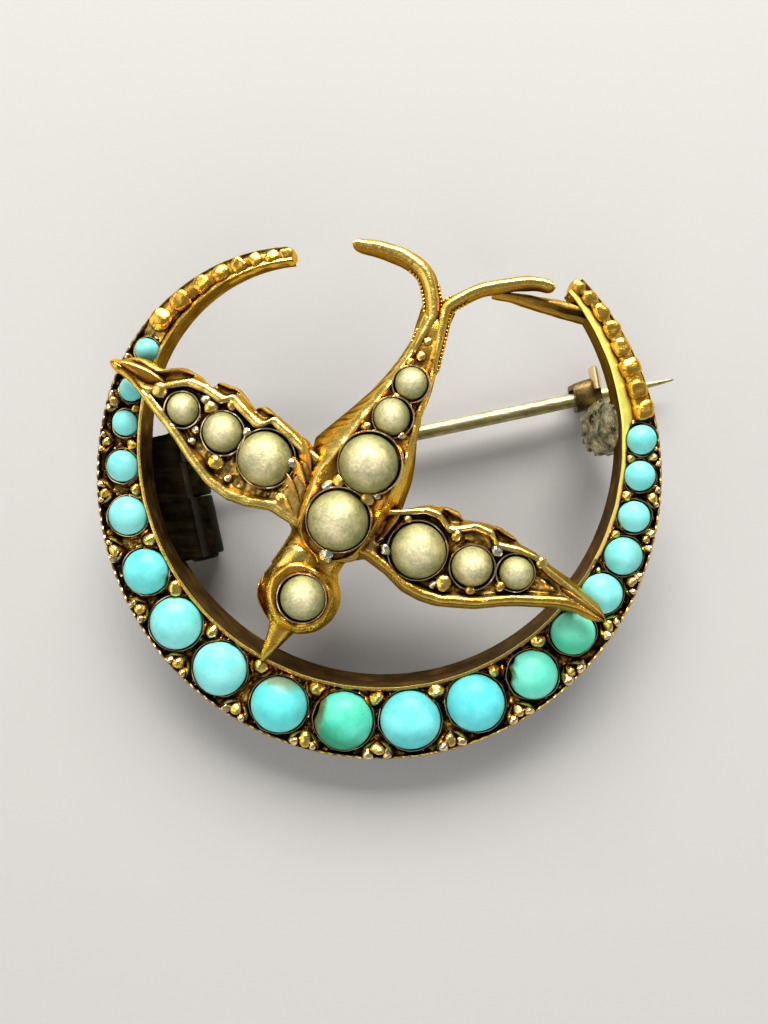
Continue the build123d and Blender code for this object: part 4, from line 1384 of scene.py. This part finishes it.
# Outline of the head round its centre. Columns: direction in degrees, then the distance to the
# outline at the foot and at the collar.
HEAD = (
    (0, 1.50, 1.28),
    (35, 1.45, 1.24),
    (60, 1.60, 1.30),
    (90, 1.95, 1.42),
    (120, 2.05, 1.50),
    (145, 1.98, 1.48),
    (165, 2.16, 1.38),
    (180, 2.10, 1.34),
    (200, 1.98, 1.34),
    (225, 1.90, 1.36),
    (250, 1.78, 1.32),
    (290, 1.68, 1.30),
    (330, 1.58, 1.28),
    (360, 1.50, 1.28),
)


# Swellings on the head in lighter gold, for wear and painted highlight. Columns: x and y as shares
# of the crescent's radius, then height of the foot, radius across, rise, length as a share of the
# width and direction in degrees.
HEAD_SWELLINGS = (
    (-0.262, -0.262, 1.18, 0.58, 0.50, 1.6, 36.0),
    (-0.330, -0.345, 1.05, 0.30, 0.45, 1.6, 66.0),
)


def make_head():
    """The bird's head: a collar with sloping sides round its pearl."""
    around = np.linspace(0, 360, 120, endpoint=False)
    angles, *reaches = zip(*HEAD)
    sharp = [np.interp(around, angles, reach) for reach in reaches]
    foot, collar = ((line + np.roll(line, 3) + np.roll(line, -3)) / 3 for line in sharp)
    pearl = PLACES["pearl_head"]
    directions = np.stack([np.cos(np.radians(around)), np.sin(np.radians(around))], axis=1)
    rows = []
    rise = HEAD_TOP - HEAD_FLOOR
    cheek = np.exp(-(((around - 186) / 30) ** 2))
    for step in np.linspace(0, 1, 20):
        reach = foot + (collar - foot) * step + 0.12 * sin(pi * step)
        ridge = 0.50 * np.exp(-(((step - 0.20) / 0.12) ** 2))
        groove = 0.14 * np.exp(-(((step - 0.62) / 0.16) ** 2))
        rows.append((reach, HEAD_FLOOR + rise * step**0.8 + cheek * (ridge - groove)))
    rows.append((collar - 0.06, HEAD_TOP + 0.03))
    rows.append((collar - 0.13, HEAD_TOP + 0.02))
    inner = pearl.radius + 0.06
    seat = np.hypot(HEAD_CENTRE[0] - pearl.x, HEAD_CENTRE[1] - pearl.y)
    rows.append((inner + seat * 0.3, HEAD_TOP - 0.06))
    rows.append((inner, HEAD_TOP - 0.3))
    loops = []
    for reach, height in rows:
        reach = reach + np.zeros(len(around))
        flat = np.array(HEAD_CENTRE) + directions * reach[:, None]
        loops.append(np.column_stack([flat, height + np.zeros(len(around))]))
    loops = roughen(loops, (0.03, 0.55, 31), above=HEAD_FLOOR + 0.1)
    make_lofts("head", [loops], [GOLD], crease=40)
    lofts = []
    for number, (x, y, low, radius, rise, stretch, turn) in enumerate(HEAD_SWELLINGS):
        centre = (x * CRESCENT_RADIUS, y * CRESCENT_RADIUS, low)
        lofts.append(lump(centre, radius, rise, 300 + number, 36, 12, (stretch, 1.0), turn, 0.06))
    make_lofts("head_swellings", lofts, [GOLD_BRIGHT], crease=60)


def make_neck():
    """The short neck between the breast and the head."""
    make_bar("neck", ((-1.75, -2.0), (-2.30, -2.75), (-2.72, -3.40), (-3.05, -4.1)), 40,
             ((0, 1.40), (0.35, 1.36), (0.65, 1.36), (1, 1.55)), ((0, 1.5), (0.5, 1.58), (1, 1.52)),
             ((0, 0.4), (1, 0.4)), 0.03, 57, [GOLD])


def across_path(path):
    """Unit directions across a path of the face plane."""
    ahead = np.gradient(path, axis=0)
    ahead /= np.linalg.norm(ahead, axis=1)[:, None]
    return np.stack([-ahead[:, 1], ahead[:, 0]], axis=1)


def bar_rows(path, half_widths, tops, floors, shape, uneven, seed):
    """Rows of a bar along a path. Shape rows run from -1 to 1 across it and from 0 to 1 up."""
    rows = []
    for spot, across, half, top, floor in zip(path, across_path(path), half_widths, tops, floors):
        rows.append([(*(spot + across * side * half), floor + (top - floor) * up) for side, up in shape])
    return roughen(rows, (uneven, 0.45, seed))


def curve_through(points, count):
    """Smooth curve through points, evenly spaced by number. The points may hold any columns."""
    points = np.asarray(points, float)
    padded = np.vstack([2 * points[0] - points[1], points, 2 * points[-1] - points[-2]])
    spots = np.linspace(0, len(points) - 1 - 1e-9, count)
    rows = []
    for spot in spots:
        start = int(spot)
        t = spot - start
        before, first, second, after = padded[start:start + 4]
        rows.append(0.5 * (2 * first + (second - before) * t
                           + (2 * before - 5 * first + 4 * second - after) * t**2
                           + (3 * first - before - 3 * second + after) * t**3))
    return np.array(rows)


def even_section(flank, ridge):
    """Section of a bar with two like flanks and a flat back, from one flank over the ridge."""
    other = tuple((-side, up) for side, up in flank)
    return (*other, (0.0, ridge), *reversed(flank), (0.4, -0.04), (-0.4, -0.04))


# Sections of bars. Columns of a flank: distance across in half widths and share of the way up.
BEVELLED = even_section(
    ((1.0, 0.0), (1.0, 0.12), (0.86, 0.5), (0.66, 0.85), (0.52, 0.97), (0.3, 1.0)), 1.03)
ROUNDED = even_section(
    ((1.0, 0.0), (1.0, 0.12), (0.92, 0.42), (0.78, 0.66), (0.60, 0.83), (0.36, 0.95)), 1.0)


def round_end(half_widths, last):
    """Half widths that close in a quarter circle over the last rows."""
    left = np.arange(len(half_widths), dtype=float)[::-1]
    closing = np.sqrt(np.clip(1 - (1 - np.clip(left / last, 0, 1)) ** 2, 0.002, 1))
    return half_widths * closing


# Centre lines of the tail's forks from the tail's root, as shares of the fork's length.
# Columns: x, y, half width and the top's height as a share of the forks' height.
LEFT_FORK = (
    (-0.262, -0.440, 0.040, 1.20),
    (-0.140, -0.215, 0.078, 1.17),
    (-0.012, 0.030, 0.096, 1.07),
    (-0.022, 0.284, 0.094, 1.00),
    (-0.093, 0.492, 0.093, 1.00),
    (-0.289, 0.652, 0.094, 1.00),
    (-0.560, 0.757, 0.084, 1.00),
    (-0.850, 0.822, 0.058, 1.00),
)
RIGHT_FORK = (
    (-0.004, -0.570, 0.035, 1.20),
    (0.036, -0.330, 0.058, 1.17),
    (0.076, -0.110, 0.074, 1.08),
    (0.120, 0.080, 0.076, 1.00),
    (0.226, 0.174, 0.072, 1.00),
    (0.485, 0.290, 0.072, 1.00),
    (0.742, 0.333, 0.072, 1.00),
    (1.049, 0.354, 0.071, 1.00),
    (1.273, 0.286, 0.061, 1.00),
)


def make_fork(name, table, seed):
    """One fork of the tail, with a top of wear and painted highlight and bevelled sides of painted shade.
    """
    rows = curve_through(table, 140)
    path = np.array(TAIL_ROOT) + rows[:, :2] * FORK_LENGTH
    half = round_end(rows[:, 2] * FORK_LENGTH, 7)
    tops = rows[:, 3] * FORK_TOP - 0.25 * (np.arange(len(path)) > len(path) - 4)
    floors = np.full(len(path), FORK_FLOOR)
    # Top in the lighter gold as painted highlight, sides in the tail gold as painted shade.
    looks = [SHADED] * 4 + [PLAIN] + [BRIGHT] * 2 + [PLAIN] + [SHADED] * 5 + [DARK] * 2
    rows = bar_rows(path, half, tops, floors, ROUNDED, 0.010, seed)
    make_lofts(name, [rows], [GOLD, GOLD_DARK, GOLD_BRIGHT, GOLD_TAIL], crease=50, looks=looks)


def make_bar(name, spine, count, halves, tops, floors, uneven, seed, materials, looks=None):
    """A bar along a spine. Halves, tops and floors are rows of share along it and millimetres."""
    shares = np.linspace(0, 1, count)
    half, top, floor = (np.interp(shares, *zip(*table)) for table in (halves, tops, floors))
    rows = bar_rows(curve_through(spine, count), half, top, floor, ROUNDED, uneven, seed)
    make_lofts(name, [rows], materials, crease=50, looks=looks)


def make_link():
    """The bar that ties the tail to the right horn."""
    # Sides in brown gold as painted shade, top in the link gold with a painted highlight that fades to
    # painted shade under the horn.
    make_bar("link_bar", ((5.3, 7.92), (6.5, 7.72), (7.8, 7.40), (9.3, 7.08)), 60,
             ((0, 0.12), (0.5, 0.28), (1, 0.43)), ((0, 0.60), (0.6, 0.45), (1, 0.02)),
             ((0, -0.08), (1, -0.5)), 0.012, 51, [GOLD_BROWN, GOLD_DARK, GOLD_LINK],
             [DARK] * 2 + [PLAIN] * 2 + [BRIGHT] * 2 + [PLAIN] * 5 + [DARK] * 4)


def make_beak():
    """The bird's beak, from its head down to the crescent's lip."""
    make_bar("beak", ((-3.9, -6.05), (-4.3, -6.75), (-4.75, -7.45), (-5.05, -7.9)), 50,
             ((0, 0.72), (0.35, 0.46), (0.8, 0.2), (1, 0.1)), ((0, 1.3), (1, 0.42)),
             ((0, 0.45), (1, 0.08)), 0.02, 52, [GOLD])


# Grains that hold the pearls. Columns: x and y as shares of the crescent's radius, radius in
# millimetres, and 1 where the grain is silvery.
SWALLOW_GRAINS = (
    (-0.549, 0.286, 0.22, 1),
    (-0.605, 0.148, 0.17, 1),
    (-0.590, 0.185, 0.17, 1),
    (-0.414, 0.175, 0.16, 1),
    (-0.258, 0.068, 0.26, 1),
    (-0.484, 0.020, 0.18, 1),
    (-0.712, 0.323, 0.26, 0),
    (-0.536, 0.262, 0.24, 0),
    (-0.524, 0.075, 0.30, 0),
    (-0.674, 0.197, 0.18, 0),
    (-0.302, -0.051, 0.22, 0),
    (-0.463, 0.267, 0.18, 0),
    (0.053, -0.231, 0.23, 1),
    (0.293, -0.182, 0.23, 0),
    (0.245, -0.344, 0.25, 0),
    (0.211, -0.348, 0.17, 1),
    (0.435, -0.355, 0.21, 0),
    (0.426, -0.237, 0.21, 1),
    (0.572, -0.278, 0.21, 0),
    (0.129, -0.127, 0.17, 0),
    (0.335, -0.368, 0.17, 0),
    (-0.005, 0.184, 0.19, 0),
    (-0.096, 0.004, 0.23, 0),
    (-0.137, -0.012, 0.23, 1),
    (-0.005, -0.054, 0.30, 0),
    (0.029, -0.045, 0.15, 1),
    (0.179, 0.416, 0.17, 0),
    (0.203, 0.465, 0.16, 0),
    (-0.141, -0.240, 0.26, 1),
    (0.101, 0.279, 0.19, 0),
    (0.143, 0.397, 0.17, 0),
    (0.113, 0.152, 0.17, 1),
    (0.070, 0.012, 0.15, 0),
    (-0.201, -0.305, 0.19, 1),
    (-0.270, -0.477, 0.22, 1),
)


def body_top_at(x, y):
    """Height of the body's back over a point of the face plane."""
    away = np.subtract((x, y), TAIL_ROOT)
    along = np.dot(away, unit(BODY_DIRECTION)) / BODY_LENGTH
    across = np.dot(away, unit(BODY_DIRECTION + 90)) / BODY_WIDTH
    on_body = abs(across) < 0.36 and -0.05 < along < 1.0
    back = BODY_FLOOR + TAIL_HEIGHT + (BODY_HEIGHT - TAIL_HEIGHT) * min(max(along / BACK_SHARE, 0), 1)
    return back - 0.10 if on_body else WING_TOP - 0.22


def make_swallow_grains():
    """Grains pushed up against the pearls."""
    golden = []
    silvery = []
    for number, (x, y, radius, pale) in enumerate(SWALLOW_GRAINS):
        x = x * CRESCENT_RADIUS
        y = y * CRESCENT_RADIUS
        shape = (1.0 + 0.15 * sin(number * 2.3), 1.0 - 0.12 * sin(number * 1.7))
        grown = radius * (1.1 if pale else 1.25)
        rows = lump((x, y, body_top_at(x, y)), grown, radius * 1.1, 200 + number, stretch=shape,
                    turn=number * 40.0, uneven=0.13 if pale else 0.09)
        (silvery if pale else golden).append(rows)
    make_lofts("gold_grains", golden, [GOLD_BRIGHT], crease=45)
    make_lofts("silvery_grains", silvery, [SILVERY], crease=28)


def make_milling():
    """Rows of tiny beads along the tail's edges."""
    lofts = []
    # Columns: fork table, side of the fork and shares of it where the row of beads starts and ends
    rows = ((LEFT_FORK, 1, 0.02, 0.60), (RIGHT_FORK, 1, 0.30, 0.44), (LEFT_FORK, -1, 0.34, 0.46),
            (RIGHT_FORK, -1, 0.02, 0.48))
    for table, side, low, high in rows:
        line = curve_through(table, 240)
        path = np.array(TAIL_ROOT) + line[:, :2] * FORK_LENGTH
        edge = path + across_path(path) * (side * line[:, 2] * FORK_LENGTH * 0.94)[:, None]
        travelled = np.concatenate([[0], np.cumsum(np.hypot(*np.diff(edge, axis=0).T))])
        for spot in np.arange(travelled[-1] * low, travelled[-1] * high, 0.17):
            x = np.interp(spot, travelled, edge[:, 0])
            y = np.interp(spot, travelled, edge[:, 1])
            z = np.interp(spot, travelled, line[:, 3]) * FORK_TOP - 0.42
            lofts.append(lump((x, y, z), 0.09, 0.12, int(spot * 100), 10, 5))
    make_lofts("milling", lofts, [GOLD_BRIGHT], crease=50)


# Pin, hinge and catch

def pin_spot(reach, side, height):
    """Point of the face's space by distance along the pin from its hinge, across it and up."""
    flat = np.array(HINGE) + unit(PIN_ANGLE) * reach + unit(PIN_ANGLE + 90) * side
    return np.array([*flat, height])


HINGE_AXIS = (*unit(PIN_ANGLE + 90), 0)
HINGE_POINT = pin_spot(0, 0, -HINGE_DEPTH)
BARREL_ROUND = 0.06


def barrel_rows(low, high):
    """Rows of a barrel along the hinge's axis, with rounded ends."""
    end_radius = BARREL_RADIUS - BARREL_ROUND
    profile = ((end_radius, low), (BARREL_RADIUS, low + BARREL_ROUND), (BARREL_RADIUS, (low + high) / 2),
               (BARREL_RADIUS, high - BARREL_ROUND), (end_radius, high))
    return lathe(HINGE_POINT, profile, 48, HINGE_AXIS)


def box_rows(reach, side, height):
    """Rows of a box square to the pin: each argument is a pair of limits."""
    rows = []
    for up in height:
        rows.append([pin_spot(reach[0], side[0], up), pin_spot(reach[1], side[0], up),
                     pin_spot(reach[1], side[1], up), pin_spot(reach[0], side[1], up)])
    return np.array(rows)


def make_hinge():
    """Outer knuckles, their webs and the plate that is soldered behind the crescent."""
    upper_low = MIDDLE_KNUCKLE / 2 + KNUCKLE_GAP
    upper_high = upper_low + UPPER_KNUCKLE
    lower_high = -upper_low
    lower_low = lower_high - LOWER_KNUCKLE
    knuckles = ((upper_low, upper_high), (lower_low, lower_high))
    lofts = [barrel_rows(low, high) for low, high in knuckles]
    plate_low = -(HINGE_DEPTH - BARREL_RADIUS - KNUCKLE_GAP)
    lofts.append(box_rows((-2.6, 0.4), (lower_low, upper_high), (plate_low, -1.35)))
    for low, high in knuckles:
        lofts.append(box_rows((-0.5, 0.5), (low, high), (-HINGE_DEPTH + 0.6, -1.4)))
    make_lofts("hinge_knuckles", lofts, [BRONZE_PAINTED_SHADE], crease=30)


def make_rivet():
    """The hinge's rivet with its two heads."""
    high = MIDDLE_KNUCKLE / 2 + KNUCKLE_GAP + UPPER_KNUCKLE + 0.03
    low = -(MIDDLE_KNUCKLE / 2 + KNUCKLE_GAP + LOWER_KNUCKLE) - 0.03
    head = RIVET_HEAD_RADIUS
    profile = ((0.3, low - RIVET_HEAD_THICKNESS), (head - 0.08, low - RIVET_HEAD_THICKNESS + 0.03),
               (head, low - 0.08), (head, low), (RIVET_RADIUS, low), (RIVET_RADIUS, high), (head, high),
               (head, high + 0.08), (head - 0.08, high + RIVET_HEAD_THICKNESS - 0.03),
               (0.3, high + RIVET_HEAD_THICKNESS))
    rows = lathe(HINGE_POINT, profile, 40, HINGE_AXIS)
    piece = make_lofts("rivet", [rows], [BRONZE_PAINTED_SHADE], crease=35)
    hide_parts("hinge_rivet")


def make_pin():
    """The steel stem with its knuckle, drawn to a point."""
    knuckle = barrel_rows(-MIDDLE_KNUCKLE / 2, MIDDLE_KNUCKLE / 2)
    dip = radians(PIN_DIP)
    ahead = np.array([*(unit(PIN_ANGLE) * cos(dip)), -sin(dip)])
    end = CATCH_REACH + CATCH_WIDTH / 2 + STEM_OVERHANG
    profile = ((0.34, 0.7), (0.35, 4.0), (0.35, 8.0), (0.35, 12.0), (0.348, 15.71), (0.335, 18.9),
               (0.30, end - 3.2), (0.22, end - 2.0), (0.14, end - 0.9), (0.06, end - 0.12), (0.01, end))
    stem = lathe(HINGE_POINT, profile, 36, ahead)
    piece = make_lofts("stem", [stem], [STEEL], "pin", crease=35)
    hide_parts("pin_stem")
    make_lofts("stem_knuckle", [knuckle], [BRONZE_PAINTED_SHADE], "pin", crease=35)


def make_catch():
    """The bent strip of the catch with its thumb tab."""
    left = -NEAR_SIDE - CATCH_STRIP
    right = FAR_SIDE + CATCH_STRIP
    top = NEAR_SIDE + CATCH_STRIP
    bend = 0.4
    turned = 0.12
    toe = 0.15
    outline = (
        (left, -0.5), (left, top - bend), (left + turned, top - turned), (left + bend, top),
        (right - bend, top), (right - turned, top - turned), (right, top - bend),
        (right, -TOE_DROP + toe), (right - toe, -TOE_DROP),
        (NEAR_SIDE, -TOE_DROP), (NEAR_SIDE, CATCH_STRIP - TOE_DROP), (FAR_SIDE, CATCH_STRIP - TOE_DROP),
        (FAR_SIDE, NEAR_SIDE), (-NEAR_SIDE, NEAR_SIDE), (-NEAR_SIDE, -0.5),
    )
    rows = []
    middle_side = (FAR_SIDE - NEAR_SIDE) / 2
    for share in (-1, -0.98, -0.9, -0.75, -0.4, 0, 0.4, 0.75, 0.9, 0.98, 1):
        grown = 1 - 0.10 * max(abs(share) - 0.7, 0) / 0.3
        reach = CATCH_REACH + share * CATCH_WIDTH / 2
        rows.append([pin_spot(reach, middle_side + (side - middle_side) * grown, up * grown - STEM_DEPTH)
                     for side, up in outline])
    count = 20
    sides = np.linspace(FAR_SIDE - 0.3, FAR_SIDE + TAB_WIDTH, count)
    tab_reach = CATCH_REACH + CATCH_WIDTH / 2 - TAB_LENGTH / 2
    path = np.array([pin_spot(tab_reach, side, 0)[:2] for side in sides])
    half = round_end(np.full(count, TAB_LENGTH / 2 + 0.03), 5)
    floors = np.full(count, NEAR_SIDE - STEM_DEPTH)
    tab = bar_rows(path, half, floors + TAB_HEIGHT, floors, ROUNDED, 0.012, 63)
    make_lofts("catch", [roughen(rows, (0.03, 0.5, 61))], [CATCH_BRONZE], crease=60)
    make_lofts("catch_tab", [tab], [GOLD_PALE], crease=30)


def make_solder():
    """The rough lump of solder between the crescent's wall and the catch."""
    near = CATCH_REACH - CATCH_WIDTH / 2 - 0.2
    across = -NEAR_SIDE - CATCH_STRIP / 2 - 1.15
    rows = []
    wide, deep = squared_circle(120, 0.72)
    for step in np.linspace(0, 1, 90):
        middle = near + 0.775 + 0.75 * step
        swell = sin(pi * np.clip(0.10 + 0.85 * step, 0, 1)) ** 0.35
        height = -STEM_DEPTH + NEAR_SIDE + (STEM_DEPTH - NEAR_SIDE - 0.7) * step
        rows.append([pin_spot(middle + x * SOLDER_HALF_LENGTH * swell,
                              across + y * SOLDER_HALF_WIDTH * swell, height)
                     for x, y in zip(wide, deep)])
    rows = roughen(rows, (0.07, 0.45, 71), (0.085, 0.25, 72))
    make_lofts("solder_lump", [rows], [SOLDER], crease=14)


def make_pads():
    """Pads of solder under the wing tips."""
    lofts = []
    for angle, distance in ((153.8, 0.880), (327.8, 0.806)):
        x, y = unit(angle) * distance * CRESCENT_RADIUS
        profile = ((0.34, -0.1), (0.3, 0.2), (0.28, 0.6), (0.3, WING_FLOOR + 0.1))
        lofts.append(lathe((x, y, 0), profile, 24))
    make_lofts("solder_pads", lofts, [SOLDER])


# Setting of the scene

def make_floor():
    """A plain pale floor."""
    half = FLOOR_HALF
    mesh = bpy.data.meshes.new("floor")
    corners = [(-half, -half, 0), (half, -half, 0), (half, half, 0), (-half, half, 0)]
    mesh.from_pydata(corners, [], [(0, 1, 2, 3)])
    material, tree, shader, _ = new_material("pale_floor")
    feed(tree, shader, {"Base Color": (0.30, 0.295, 0.285, 1), "Roughness": 0.9})
    mesh.materials.append(material)
    floor = bpy.data.objects.new("floor", mesh)
    bpy.context.scene.collection.objects.link(floor)


def add_area_light(name, direction, distance, size, power, colour, mirrored=True):
    """An area light that faces the brooch from a direction of the row frame."""
    data = bpy.data.lights.new(name, "AREA")
    data.shape = "RECTANGLE"
    data.size = size[0]
    data.size_y = size[1]
    data.energy = power
    data.color = colour
    light = bpy.data.objects.new(name, data)
    away = Vector(direction).normalized()
    light.location = away * distance
    light.rotation_euler = away.to_track_quat("Z", "Y").to_euler()
    light.visible_glossy = mirrored
    bpy.context.scene.collection.objects.link(light)


def make_lights():
    """A large soft light from beyond the horns, weaker ones at the sides and dim surroundings."""
    add_area_light("key", (0.05, 0.80, 0.66), 0.30, (0.26, 0.17), 2.7, (1.0, 0.98, 0.95))
    add_area_light("side_fill", (-0.80, -0.10, 0.62), 0.45, (0.40, 0.50), 0.7, (1.0, 0.96, 0.88))
    add_area_light("low_fill", (0.1, -0.75, 0.60), 0.40, (0.40, 0.30), 1.6, (1.0, 1.0, 1.0), False)
    surroundings = bpy.data.worlds.new("surroundings")
    surroundings.use_nodes = True
    tree = surroundings.node_tree
    background = tree.nodes["Background"]
    place = tree.nodes.new("ShaderNodeTexCoord").outputs["Generated"]
    split = tree.nodes.new("ShaderNodeSeparateXYZ")
    tree.links.new(place, split.inputs["Vector"])
    stops = ((0.0, (0.28, 0.27, 0.26)), (0.40, (0.30, 0.30, 0.31)), (0.8, (0.20, 0.20, 0.21)),
             (1.0, (0.26, 0.26, 0.27)))
    tree.links.new(ramp_node(tree, split.outputs["Z"], stops), background.inputs["Color"])
    background.inputs["Strength"].default_value = 0.8
    bpy.context.scene.world = surroundings
    bpy.context.scene.view_settings.view_transform = "Standard"


def make_camera():
    """The camera at the photograph's angle."""
    back = Vector(CAMERA_BACK).normalized()
    up = back.cross(Vector(CAMERA_RIGHT)).normalized()
    right = up.cross(back)
    data = bpy.data.cameras.new("camera")
    data.lens = CAMERA_LENS
    data.sensor_width = 36.0
    data.clip_start = 0.001
    camera = bpy.data.objects.new("camera", data)
    turn = Matrix((right, up, back)).transposed().to_4x4()
    camera.matrix_world = Matrix.Translation(Vector(CAMERA_PLACE) * MM) @ turn
    bpy.context.scene.collection.objects.link(camera)
    bpy.context.scene.camera = camera


keep_off_lip()
make_crescent()
make_horn_beads()
make_crescent_grains()
make_turquoises()
make_pearls()
make_pearl_cups()
make_stone_collars()
# The left wing's leading flank and rim take the lighter gold, painted highlight; the right wing's take
# brown and plain gold, painted shade.
make_wing("left_wing", placer(LEFT_WING_ROOT, LEFT_WING_DIRECTION), LEFT_WING_FOOT, LEFT_WING_RIM,
          side=-1, length=LEFT_WING_LENGTH, width=LEFT_WING_WIDTH, seed=81, lead_look=BRIGHT,
          rim_look=BRIGHT, rim_width=0.16, lead_inset=0.34, root_fill=0.09)
make_wing("right_wing", placer(RIGHT_WING_ROOT, RIGHT_WING_DIRECTION), RIGHT_WING_FOOT, RIGHT_WING_RIM,
          side=1, length=RIGHT_WING_LENGTH, width=RIGHT_WING_WIDTH, seed=91, lead_look=BROWN,
          rim_look=PLAIN, rim_width=0.11, lead_inset=0.48, root_fill=0.02)
make_body()
make_shoulders()
make_leaves()
make_wing_tips()
make_swallow_grains()
make_head()
make_neck()
make_fork("left_fork", LEFT_FORK, 53)
make_fork("right_fork", RIGHT_FORK, 54)
make_milling()
make_link()
make_beak()
make_hinge()
make_rivet()
make_pin()
make_catch()
make_solder()
make_pads()
make_floor()
make_lights()
make_camera()
